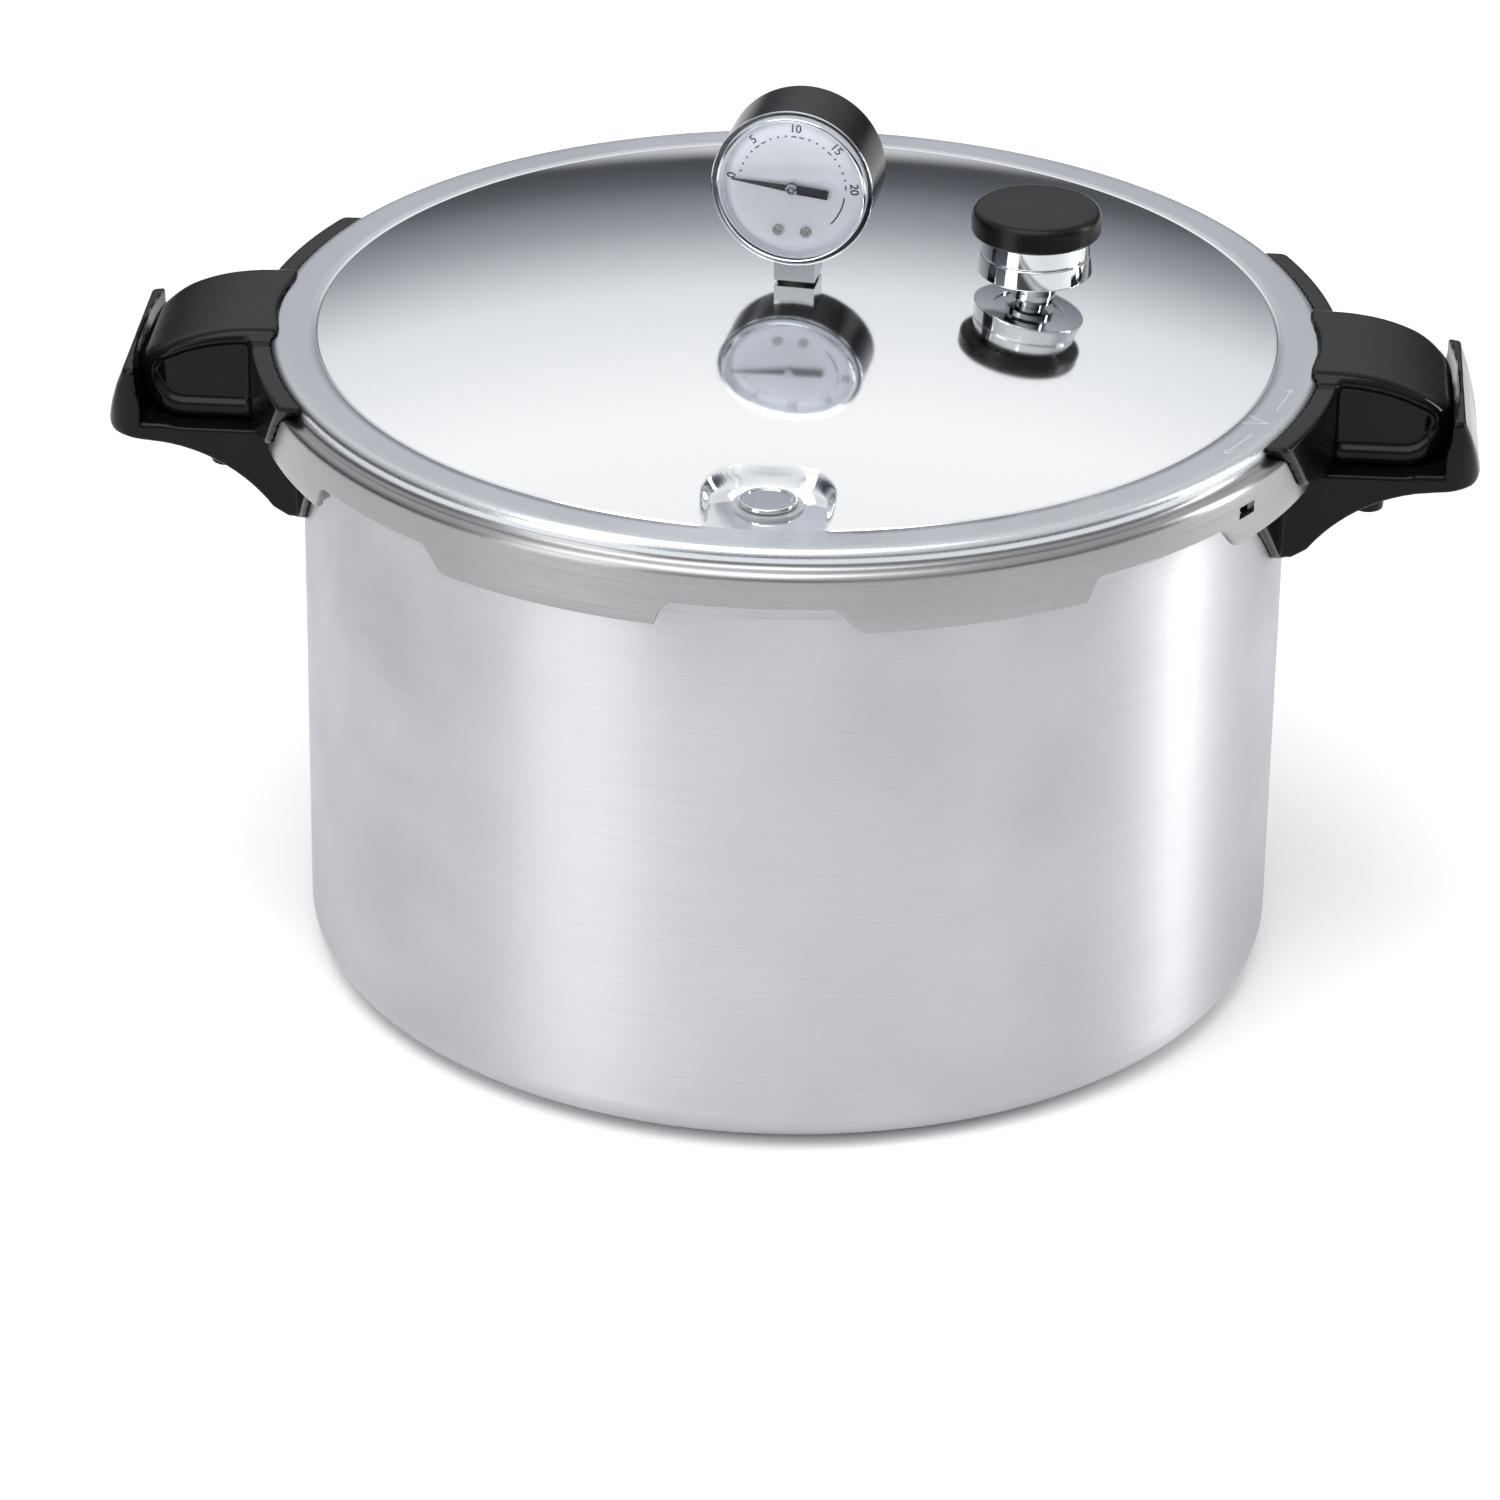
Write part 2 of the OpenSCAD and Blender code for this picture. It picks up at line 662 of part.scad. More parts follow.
// ---------- relief plug ----------
module relief_plug() {
    z = dome_z(plug_place_r);
    color([0.1, 0.1, 0.1]) rotate([0, 0, plug_az]) translate([plug_place_r, 0, 0]) union() {
        translate([0, 0, z + 0.9]) cylinder(r = plug_r, h = 2.4);
        translate([0, 0, z + 3.29]) cylinder(r1 = plug_r, r2 = plug_r - 1.2, h = 0.8);
        translate([0, 0, z - 5.5]) cylinder(r = plug_r - 2.2, h = 7);
        translate([0, 0, z - 7.5]) cylinder(r = plug_r - 0.6, h = 3);
    }
}

// ---------- gauge ----------
stem_thread_r = 4.8;
window_flange = 0.25;
gauge_z = dome_top_z + gauge_clear + case_r;
front_y = -case_d / 2;
back_y = case_d / 2;
case_in_r = case_r - case_wall;
dial_t = 0.8;
dial_y = front_y + 0.4;
socket_z = -case_in_r * 0.5;
screw_px = 4.4;
screw_pz = socket_z - 2.4;
pinion_r = tooth_m * pinion_n / 2;
sector_r = tooth_m * sector_n / 2;
arbor_gap = pinion_r + sector_r;
sector_dir = -44.5;
sector_px = arbor_gap * cos(sector_dir);
sector_pz = arbor_gap * sin(sector_dir);
tail_l = 5;
tail_dir = -10;
sector_swing = pointer_sweep * pinion_n / sector_n;
spindle_r = 0.6;
rest_dir = 174.5;
pointer_l = 19.4;
tube_r = 17;
front_plate_y = -6.8;
gear_y = -3.4;
link_y = -1.9;
back_plate_y = 0;

module at_gauge() { translate([0, 0, gauge_z]) rotate([0, 0, gauge_turn]) children(); }
// A flat piece in the plane of the dial: drawn with x right and y up, then t thick from y0 backwards
module face_plate(y0, t) { translate([0, y0 + t, 0]) rotate([90, 0, 0]) linear_extrude(t) children(); }
module face_rod(y0, y1, r) { translate([0, y1, 0]) rotate([90, 0, 0]) cylinder(r = r, h = y1 - y0, $fn = 32); }

module gauge_stem() {
    seat_y = dial_y + dial_t + 0.2;
    color([0.82, 0.83, 0.84]) difference() {
        union() {
            translate([0, 0, dome_top_z + 1])
                rotate([0, 0, gauge_turn])
                    translate([-stem_w / 2, -stem_w / 2, 0])
                        cube([stem_w, stem_w, gauge_z + socket_z - dome_top_z - 1]);
            at_gauge()
                translate([-stem_w / 2, seat_y, 4 - case_in_r])
                    cube([stem_w, 1 - stem_w / 2 - seat_y, case_in_r + socket_z - 4]);
            translate([0, 0, dome_top_z - 12]) cylinder(r = stem_thread_r, h = 14);
        }
        at_gauge()
            for (s = [-1, 1])
                translate([s * screw_px, 0, screw_pz]) face_rod(dial_y - 1, dial_y + 6, 0.9);
        translate([0, 0, dome_top_z - 13]) cylinder(r = 1.2, h = 20);
    }
}

module gauge_gasket() {
    color([0.12, 0.12, 0.12]) difference() {
        translate([0, 0, dome_top_z]) cylinder(r = stem_w / 2, h = 1);
        translate([0, 0, dome_top_z - 1]) cylinder(r = stem_thread_r + seat_gap, h = 3);
    }
}

module gauge_nut() {
    color([0.7, 0.71, 0.72]) difference() {
        translate([0, 0, dome_top_z - lid_t - 5.6]) cylinder(r = stem_thread_r + 4, h = 5, $fn = 6);
        translate([0, 0, dome_top_z - 13]) cylinder(r = stem_thread_r + run_gap, h = 14);
    }
}

module gauge_case() {
    color([0.10, 0.10, 0.11]) at_gauge() difference() {
        rotate([90, 0, 0])
            rotate_extrude()
                polygon(concat(
                    [[0, -back_y]],
                    arc(case_r - 1.5, 1.5 - back_y, 1.5, -90, 0, 6),
                    [[case_r, -front_y], [case_in_r, -front_y], [case_in_r, case_wall - back_y], [0, case_wall - back_y]]
                ));
        translate([-stem_w / 2 - seat_gap, -stem_w / 2 - seat_gap, -case_r - 2])
            cube([stem_w + 2 * seat_gap, stem_w + 2 * seat_gap, case_r / 2]);
    }
}

module gauge_dial() {
    color([0.93, 0.94, 0.96]) at_gauge() face_plate(dial_y, dial_t) difference() {
        circle(r = case_in_r - 0.2);
        circle(r = 1.5, $fn = 32);
        for (s = [-1, 1]) translate([s * screw_px, screw_pz]) circle(r = 1, $fn = 32);
    }
}

module gauge_dial_screws() {
    color([0.75, 0.75, 0.74]) at_gauge()
        for (s = [-1, 1])
            translate([s * screw_px, 0, screw_pz]) {
                face_rod(dial_y - 0.3, dial_y + 4.5, 0.8);
                difference() {
                    face_rod(dial_y - 1, dial_y - 0.02, 1.7);
                    for (turn = [20, 110])
                        rotate([0, turn, 0]) translate([-1.1, dial_y - 1.1, -0.2]) cube([2.2, 0.6, 0.4]);
                }
            }
}

module gauge_window() {
    // Clear moulded crystal: a flange on the case's edge, a short wall and a flat front
    wall_in = case_r - 3.2;
    lens_r = wall_in + 1.3;
    depth = 4.2;
    color([0.9, 0.95, 1, 0.35]) at_gauge() rotate([90, 0, 0]) rotate_extrude()
        polygon(concat(
            [[0, -front_y + depth - 1.3], [wall_in - 0.5, -front_y + depth - 1.3], [wall_in, -front_y + depth - 1.9]],
            [[wall_in, -front_y + 0.02], [case_r + window_flange, -front_y + 0.02], [case_r + window_flange, -front_y + 1.3]],
            [[lens_r, -front_y + 1.6]],
            arc(lens_r - 1.2, -front_y + depth - 1.2, 1.2, 0, 90, 5),
            [[0, -front_y + depth]]
        ));
}

module bourdon_tube() {
    // Flat bronze tube bent round the movement, closed at its free tip
    depth = 5.6;
    color([0.72, 0.55, 0.3]) at_gauge() translate([0, 1.2 + depth, 0]) rotate([90, 0, 0]) union() {
        rotate([0, 0, -20]) rotate_extrude(angle = 275) translate([tube_r - 0.8, 0]) square([1.6, depth]);
        rotate([0, 0, -23]) rotate_extrude(angle = 5) translate([tube_r - 1.3, 0.4]) square([2.6, depth - 0.8]);
    }
}

module movement_outline() {
    polygon([
        [-4.5, socket_z], [sector_px + 3.5, socket_z], [sector_px + 3.5, sector_pz + 2.5],
        [2.5, 3], [-2.5, 3], [-4.5, sector_pz]
    ]);
}

module movement_frame() {
    color([0.76, 0.62, 0.32]) at_gauge() difference() {
        union() {
            face_plate(front_plate_y, 0.8) movement_outline();
            face_plate(back_plate_y, 0.8) movement_outline();
            for (x = [-3, sector_px + 2])
                translate([x, 0, socket_z + 1.5]) face_rod(front_plate_y + 0.4, back_plate_y + 0.4, 1.1);
        }
        face_rod(front_plate_y - 1, back_plate_y + 2, spindle_r + run_gap);
        translate([sector_px, 0, sector_pz]) face_rod(front_plate_y - 1, back_plate_y + 2, spindle_r + run_gap);
    }
}

// One straight-sided tooth on a pitch radius, pointing along +X
module tooth(pitch_radius) {
    root = pitch_radius - 1.15 * tooth_m;
    tip = pitch_radius + 0.75 * tooth_m;
    polygon([
        [root - 0.1, -0.85 * tooth_m], [tip, -0.28 * tooth_m],
        [tip, 0.28 * tooth_m], [root - 0.1, 0.85 * tooth_m]
    ]);
}

module sector_gear() {
    step = 360 / sector_n;
    // A gap of the sector faces the pinion at rest, where the pinion has a tooth
    first = 180 + sector_dir + step / 2 - ceil((sector_swing + 8) / step) * step;
    count = ceil((sector_swing + 8) / step) + 2;
    root = sector_r - 1.1 * tooth_m;
    color([0.78, 0.64, 0.34]) at_gauge() translate([sector_px, 0, sector_pz]) difference() {
        union() {
            face_plate(gear_y, 1) {
                rotate([0, 0, first - step])
                    difference() {
                        intersection() {
                            circle(r = root);
                            polygon(concat([[0, 0]], arc(0, 0, 2 * sector_r, 0, (count + 1) * step)));
                        }
                        circle(r = root - 1.6);
                    }
                for (k = [0:count - 1]) rotate([0, 0, first + k * step]) tooth(sector_r);
                for (k = [1, count - 2])
                    rotate([0, 0, first + k * step]) translate([0, -0.6]) square([root - 0.8, 1.2]);
                circle(r = 1.6);
                rotate([0, 0, tail_dir]) translate([0, -0.8]) square([tail_l, 1.6]);
                rotate([0, 0, tail_dir]) translate([tail_l, 0]) circle(r = 1.1, $fn = 32);
            }
            face_rod(front_plate_y + 0.05, back_plate_y + 0.75, spindle_r);
            rotate([0, -tail_dir, 0]) translate([tail_l, 0, 0]) face_rod(gear_y + 0.5, link_y + 1.1, 0.45);
        }
    }
}

module movement_link() {
    tip_x = (tube_r - 0.6) * cos(-20) - sector_px - tail_l * cos(tail_dir);
    tip_z = (tube_r - 0.6) * sin(-20) - sector_pz - tail_l * sin(tail_dir);
    length = norm([tip_x, tip_z]);
    color([0.7, 0.7, 0.7]) at_gauge()
        translate([sector_px + tail_l * cos(tail_dir), 0, sector_pz + tail_l * sin(tail_dir)])
            face_plate(link_y, 0.6) difference() {
                union() {
                    circle(r = 1.1, $fn = 32);
                    rotate([0, 0, atan2(tip_z, tip_x)]) translate([0, -0.6]) square([length, 1.2]);
                    translate([tip_x, tip_z]) circle(r = 1.1, $fn = 32);
                }
                circle(r = 0.45 + run_gap, $fn = 32);
                translate([tip_x, tip_z]) circle(r = 0.5, $fn = 32);
            }
}

module pointer_spindle() {
    root = pinion_r - 1.1 * tooth_m;
    color([0.7, 0.7, 0.68]) at_gauge() union() {
        face_rod(dial_y - 2.6, back_plate_y + 0.75, spindle_r);
        face_plate(gear_y - 0.1, 1.2) {
            circle(r = root, $fn = 32);
            for (k = [0:pinion_n - 1]) rotate([0, 0, sector_dir + k * 360 / pinion_n]) tooth(pinion_r);
        }
    }
}

module pointer() {
    tail = 11.6;
    tail_w = 3;
    color([0.05, 0.05, 0.05]) at_gauge() face_plate(dial_y - 1.7, 0.5) rotate([0, 0, rest_dir]) difference() {
        union() {
            polygon([[0, -1.1], [pointer_l, -0.25], [pointer_l, 0.25], [0, 1.1]]);
            translate([-tail, -tail_w / 2]) square([tail - 2, tail_w]);
            polygon([[-2.5, -tail_w / 2], [0, -0.9], [0, 0.9], [-2.5, tail_w / 2]]);
            circle(r = 2);
        }
        circle(r = spindle_r + 0.01, $fn = 32);
    }
}

module pointer_hub() {
    color([0.8, 0.8, 0.78]) at_gauge() rotate([90, 0, 0]) rotate_extrude($fn = 48)
        polygon([
            [spindle_r + 0.01, 1.75 - dial_y], [1.9, 1.75 - dial_y], [1.9, 2.3 - dial_y],
            [1.2, 2.9 - dial_y], [spindle_r + 0.01, 2.9 - dial_y]
        ]);
}

module hairspring() {
    turns = 3.5;
    steps = 84;
    function reach(i) = 1.3 + 2.6 * i / steps;
    function along(i) = 360 * turns * i / steps;
    color([0.6, 0.6, 0.62]) at_gauge() face_plate(front_plate_y + 1.1, 0.6)
        polygon(concat(
            [for (i = [0:steps]) [reach(i) * cos(along(i)), reach(i) * sin(along(i))]],
            [for (i = [steps:-1:0]) [(reach(i) + 0.18) * cos(along(i)), (reach(i) + 0.18) * sin(along(i))]]
        ));
}

// ---------- rack ----------
module canning_rack() {
    edge = pot_in_r - rack_gap;
    low = base_t + face_gap;
    rings = floor((edge - 12) / 33);
    color([0.74, 0.75, 0.76]) difference() {
        rotate_extrude()
            polygon([
                [0, low + rack_h - rack_t], [edge - rack_t, low + rack_h - rack_t], [edge - rack_t, low],
                [edge, low], [edge, low + rack_h], [0, low + rack_h]
            ]);
        translate([0, 0, low]) cylinder(r = rack_hole_r, h = rack_h + 1, $fn = 48);
        for (n = [1:rings])
            for (k = [0:6 * n - 1])
                rotate([0, 0, 60 * k / n + 30 * n])
                    translate([33 * n, 0, low]) cylinder(r = rack_hole_r, h = rack_h + 1, $fn = 48);
    }
}

pot_body();
body_bracket_left();
body_bracket_right();
body_handle_left();
body_handle_right();
body_handle_screws();
lock_bracket();
lock_bracket_rivets();
lid();
sealing_ring();
lid_bracket_left();
lid_bracket_right();
lid_handle_left();
lid_handle_right();
lid_handle_screws();
vent_pipe();
vent_pipe_nut();
regulator_core();
regulator_ring_upper();
regulator_ring_lower();
regulator_knob();
cover_lock_gasket();
cover_lock_pin();
cover_lock_cup();
relief_plug();
gauge_stem();
gauge_gasket();
gauge_nut();
gauge_case();
gauge_dial();
gauge_dial_screws();
gauge_window();
bourdon_tube();
movement_frame();
sector_gear();
movement_link();
pointer_spindle();
pointer();
pointer_hub();
hairspring();
canning_rack();
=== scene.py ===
import math

import bpy
import numpy as np
from mathutils import Matrix, Vector


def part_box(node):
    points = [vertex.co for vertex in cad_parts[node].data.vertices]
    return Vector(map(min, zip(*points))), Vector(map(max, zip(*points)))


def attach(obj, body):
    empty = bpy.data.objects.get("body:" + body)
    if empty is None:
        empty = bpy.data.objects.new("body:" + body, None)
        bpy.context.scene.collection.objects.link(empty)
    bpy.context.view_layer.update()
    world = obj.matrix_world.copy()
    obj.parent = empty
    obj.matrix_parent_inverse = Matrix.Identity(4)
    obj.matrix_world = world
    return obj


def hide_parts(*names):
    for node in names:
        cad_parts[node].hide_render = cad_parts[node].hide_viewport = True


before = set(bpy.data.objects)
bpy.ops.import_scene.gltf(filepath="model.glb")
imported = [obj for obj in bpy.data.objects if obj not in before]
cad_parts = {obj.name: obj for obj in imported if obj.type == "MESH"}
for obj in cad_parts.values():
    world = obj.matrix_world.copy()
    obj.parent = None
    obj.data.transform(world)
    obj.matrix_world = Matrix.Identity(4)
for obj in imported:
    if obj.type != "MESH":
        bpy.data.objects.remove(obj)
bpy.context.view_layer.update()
scene = bpy.context.scene
MM = 0.001


# ---------- camera ----------
# A 155 mm lens about two metres away, a quarter of the way up, a little to the right of
# the front.  It aims just above the middle of the pot.
CAMERA_TURN = math.radians(3.3)
CAMERA_RISE = math.radians(26.2632)
CAMERA_DISTANCE = 2.1005
CAMERA_TARGET = Vector((0, 0, 0.1044))
CAMERA_ROLL, CAMERA_YAW, CAMERA_PITCH = (math.radians(a) for a in (0.9698, 0.3728, 1.0994))

back = Vector((0, -math.cos(CAMERA_RISE), math.sin(CAMERA_RISE)))
level = Vector((1, 0, 0))
upright = back.cross(level)
right = math.cos(CAMERA_ROLL) * level + math.sin(CAMERA_ROLL) * upright
upright = math.cos(CAMERA_ROLL) * upright - math.sin(CAMERA_ROLL) * level
ahead = math.cos(CAMERA_YAW) * -back - math.sin(CAMERA_YAW) * right
right = math.cos(CAMERA_YAW) * right - math.sin(CAMERA_YAW) * back
camera_up = math.cos(CAMERA_PITCH) * upright + math.sin(CAMERA_PITCH) * ahead
ahead = math.cos(CAMERA_PITCH) * ahead - math.sin(CAMERA_PITCH) * upright

camera = bpy.data.objects.new("camera", bpy.data.cameras.new("camera"))
camera.data.lens = 154.8
camera.data.sensor_width = 36
axes = Matrix((right, camera_up, -ahead)).transposed().to_4x4()
place = Matrix.Translation(CAMERA_TARGET + back * CAMERA_DISTANCE)
camera.matrix_world = Matrix.Rotation(CAMERA_TURN, 4, "Z") @ place @ axes
scene.collection.objects.link(camera)
scene.camera = camera


# ---------- studio ----------
# A white paper floor under a bright tent.  The tent is lighter above and in front and
# falls off to grey low down behind, which is what polished metal needs to look like metal.
def linear(code):
    """An sRGB hex colour as linear red, green, blue and alpha."""
    shares = [int(code[i:i + 2], 16) / 255 for i in (1, 3, 5)]
    return [c / 12.92 if c <= 0.04045 else ((c + 0.055) / 1.055) ** 2.4 for c in shares] + [1]


def add(tree, kind, values=None, **settings):
    """Adds a node, sets its settings, and fills or links each socket named in values."""
    made = tree.nodes.new(kind)
    for key, value in settings.items():
        setattr(made, key, value)
    for key, value in (values or {}).items():
        if isinstance(value, bpy.types.NodeSocket):
            tree.links.new(value, made.inputs[key])
        else:
            made.inputs[key].default_value = value
    return made


def ramp(tree, share, stops):
    """A colour ramp over share, from (position, hex colour) stops."""
    made = add(tree, "ShaderNodeValToRGB", {"Fac": share})
    band = made.color_ramp.elements
    while len(band) < len(stops):
        band.new(1)
    for element, (position, code) in zip(band, stops):
        element.position, element.color = position, linear(code)
    return made.outputs["Color"]


scene.view_settings.view_transform = "Standard"
tent = bpy.data.worlds.new("studio_tent")
tent.use_nodes = True
tent.node_tree.nodes.clear()
tree = tent.node_tree
sky = add(tree, "ShaderNodeTexCoord").outputs["Generated"]
split = add(tree, "ShaderNodeSeparateXYZ", {"Vector": sky})
rise = add(tree, "ShaderNodeMapRange", {"Value": split.outputs["Z"], "From Min": -1.0, "From Max": 1.0})
height_tone = ramp(tree, rise.outputs["Result"], [
    (0.0, "#d8d8d8"), (0.49, "#c9cacc"), (0.515, "#404246"), (0.56, "#595c61"), (0.63, "#9a9da3"),
    (0.71, "#e4e6e8"), (0.82, "#ffffff"), (1.0, "#f0f1f2"),
])
side = add(tree, "ShaderNodeMapRange", {"Value": split.outputs["X"], "From Min": -1.0, "From Max": 1.0})
side_tone = ramp(tree, side.outputs["Result"], [
    (0.0, "#8a8c91"), (0.1, "#d4d6d9"), (0.3, "#ffffff"), (0.55, "#ffffff"), (0.86, "#eeeff0"),
    (0.94, "#9b9da2"), (1.0, "#77797e"),
])
# The colour sockets of a mix node share their names with its other types, so they go by place
tone = add(tree, "ShaderNodeMix", {0: 1.0, 6: height_tone, 7: side_tone},
           data_type="RGBA", blend_type="MULTIPLY")
tent_light = add(tree, "ShaderNodeBackground", {"Color": tone.outputs[2], "Strength": 1.1})
add(tree, "ShaderNodeOutputWorld", {"Surface": tent_light.outputs["Background"]})
scene.world = tent


def softbox(name, place, aim, width, height, power):
    """A rectangular area light at place, aimed at a point."""
    data = bpy.data.lights.new(name, "AREA")
    data.shape, data.size, data.size_y, data.energy = "RECTANGLE", width, height, power
    light = bpy.data.objects.new(name, data)
    direction = Vector(aim) - Vector(place)
    light.matrix_world = Matrix.Translation(place) @ direction.to_track_quat("-Z", "Y").to_matrix().to_4x4()
    scene.collection.objects.link(light)
    return light


softbox("overhead_softbox", (-0.3, -0.5, 1.9), (0, 0, 0.1), 1.6, 1.6, 26)
softbox("right_strip", (1.7, 0.2, 0.55), (0, 0, 0.1), 0.22, 1.3, 13)
softbox("left_strip", (-1.3, -1.4, 0.7), (0, 0, 0.1), 0.9, 1.3, 10)


def solid(name, points, faces, materials, face_materials=None, sharp=40):
    """A mesh object from points in millimetres, smooth except across edges sharper than sharp degrees."""
    mesh = bpy.data.meshes.new(name)
    mesh.from_pydata((np.asarray(points, float) * MM).tolist(), [], [list(map(int, f)) for f in faces])
    for material in materials:
        mesh.materials.append(material)
    if face_materials is not None:
        mesh.polygons.foreach_set("material_index", np.asarray(face_materials, np.int32))
    mesh.polygons.foreach_set("use_smooth", np.ones(len(mesh.polygons), bool))
    mesh.set_sharp_from_angle(angle=math.radians(sharp))
    mesh.update()
    made = bpy.data.objects.new(name, mesh)
    scene.collection.objects.link(made)
    return made


def new_material(name):
    material = bpy.data.materials.new(name)
    material.use_nodes = True
    material.node_tree.nodes.clear()
    return material


paper = new_material("white_paper_matt")
paper_grain = add(paper.node_tree, "ShaderNodeTexNoise", {"Scale": 900.0, "Detail": 3.0})
paper_bump = add(paper.node_tree, "ShaderNodeBump",
                 {"Height": paper_grain.outputs["Fac"], "Strength": 0.05, "Distance": 0.0002})
paper_shader = add(paper.node_tree, "ShaderNodeBsdfPrincipled", {
    "Base Color": linear("#f6f6f6"), "Roughness": 0.9, "Specular IOR Level": 0.2,
    "Normal": paper_bump.outputs["Normal"],
})
add(paper.node_tree, "ShaderNodeOutputMaterial", {"Surface": paper_shader.outputs["BSDF"]})
FLOOR_R = 6000
ring = [(FLOOR_R * math.cos(a), FLOOR_R * math.sin(a), -0.3) for a in np.linspace(0, 2 * math.pi, 65)[:-1]]
floor = solid("floor", ring, [range(64)], [paper])


# ---------- pot ----------
# Drawn from one sheet of aluminium with a thick turned rim and eight bayonet lugs.  Its
# wall is brushed round and round with a fine abrasive, so highlights stretch up and down.
def in_mm(node):
    """The lowest and highest corner of a CAD node, in millimetres."""
    low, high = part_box(node)
    return np.array(low) / MM, np.array(high) / MM


def brushed_metal(name, colour, roughness, line_mm, depth, spread, uneven=0.06, direction="ring"):
    """Bare metal with brushing lines line_mm apart; spread stretches highlights across the lines."""
    material = new_material(name)
    tree = material.node_tree
    place = add(tree, "ShaderNodeTexCoord").outputs["Object"]
    lines = 1000 / line_mm
    squeeze = {"ring": (14, 14, lines), "flat": (lines, 12, lines), "none": (lines, lines, lines)}[direction]
    along = add(tree, "ShaderNodeMapping", {"Vector": place, "Scale": squeeze})
    fine = add(tree, "ShaderNodeTexNoise", {"Vector": along.outputs["Vector"], "Scale": 1.0, "Detail": 3.0,
                                            "Roughness": 0.6})
    cloud = add(tree, "ShaderNodeTexNoise", {"Vector": place, "Scale": 22.0, "Detail": 2.0})
    mixed = add(tree, "ShaderNodeMath", {0: fine.outputs["Fac"], 1: cloud.outputs["Fac"]}, operation="ADD")
    rough = add(tree, "ShaderNodeMapRange", {
        "Value": mixed.outputs["Value"], "From Min": 0.7, "From Max": 1.3,
        "To Min": roughness - uneven, "To Max": roughness + uneven,
    })
    tint = ramp(tree, fine.outputs["Fac"], [(0.25, colour[0]), (0.75, colour[1])])
    bump = add(tree, "ShaderNodeBump", {"Height": fine.outputs["Fac"], "Strength": depth, "Distance": 0.0003})
    settings = {"Base Color": tint, "Metallic": 1.0, "Roughness": rough.outputs["Result"],
                "Normal": bump.outputs["Normal"]}
    if spread:
        around = add(tree, "ShaderNodeTangent", direction_type="RADIAL", axis="Z")
        settings.update({"Anisotropic": spread, "Anisotropic Rotation": 0.25,
                         "Tangent": around.outputs["Tangent"]})
    shader = add(tree, "ShaderNodeBsdfPrincipled", settings)
    add(tree, "ShaderNodeOutputMaterial", {"Surface": shader.outputs["BSDF"]})
    return material


def arc(x, y, radius, start, end, steps=10):
    """Points on an arc, from start to end degrees."""
    angles = np.radians(np.linspace(start, end, steps + 1))
    return np.stack([x + radius * np.cos(angles), y + radius * np.sin(angles)], 1)


def softened(corners, steps=5):
    """A profile of (r, z, fillet) corners, with each corner that has a fillet turned into an arc."""
    points = []
    for i, (r, z, fillet) in enumerate(corners):
        here = np.array((r, z), float)
        if not fillet:
            points.append(here)
            continue
        before = np.array(corners[i - 1][:2], float) - here
        after = np.array(corners[(i + 1) % len(corners)][:2], float) - here
        before, after = before / np.linalg.norm(before), after / np.linalg.norm(after)
        half = math.acos(np.clip(before @ after, -1, 1)) / 2
        reach = fillet / math.tan(half)
        middle = here + (before + after) / np.linalg.norm(before + after) * fillet / math.sin(half)
        first, last = here + before * reach - middle, here + after * reach - middle
        for t in np.linspace(0, 1, steps + 1):
            spoke = first * (1 - t) + last * t
            points.append(middle + spoke / np.linalg.norm(spoke) * fillet)
    return np.array(points)


def grid_faces(rows, columns, closed):
    """Quads between neighbouring rows of a grid whose columns go all the way round."""
    bands = rows if closed else rows - 1
    i, j = np.meshgrid(np.arange(bands), np.arange(columns), indexing="ij")
    below, beside = (i + 1) % rows, (j + 1) % columns
    here, under = i * columns, below * columns
    return np.stack([here + j, under + j, under + beside, here + beside], -1).reshape(-1, 4)


def turned_grid(angles, radii, heights, closed=False):
    """Points and faces of a turned sheet.  radii and heights hold one row per step of the profile."""
    rows, columns = len(radii), len(angles)
    radii = np.array([np.broadcast_to(r, columns) for r in radii], float)
    heights = np.array([np.broadcast_to(z, columns) for z in heights], float)
    points = np.stack([radii * np.cos(angles), radii * np.sin(angles), heights], -1).reshape(-1, 3)
    faces = grid_faces(rows, columns, closed)
    return points, faces


def welded(points, faces, keys=None):
    """Joins points that lie in one place, and drops the faces that vanish with them."""
    rounded = np.round(points / 1e-4).astype(np.int64)
    _, first, index = np.unique(rounded, axis=0, return_index=True, return_inverse=True)
    index = index.ravel()
    kept, kept_keys = [], []
    for k, face in enumerate(faces):
        ring = [index[v] for v in face]
        ring = [v for i, v in enumerate(ring) if v != ring[i - 1]]
        if len(set(ring)) > 2:
            kept.append(ring)
            kept_keys.append(0 if keys is None else keys[k])
    return points[first], kept, kept_keys


def turned(name, profile, material, segments=96, closed=False, move=None, sharp=40):
    """A piece turned about Z from a profile of (r, z); move places it.  Its shading favours flat faces."""
    angles = np.linspace(0, 2 * math.pi, segments, endpoint=False)
    profile = np.asarray(profile, float)
    points, faces = turned_grid(angles, profile[:, 0], profile[:, 1], closed)
    points, faces, _ = welded(points, faces)
    if move is not None:
        points = np.array([move @ Vector(p) for p in points])
    made = solid(name, points, faces, [material], sharp=sharp)
    smooth = made.modifiers.new("even_shading", "WEIGHTED_NORMAL")
    smooth.keep_sharp = True
    return made


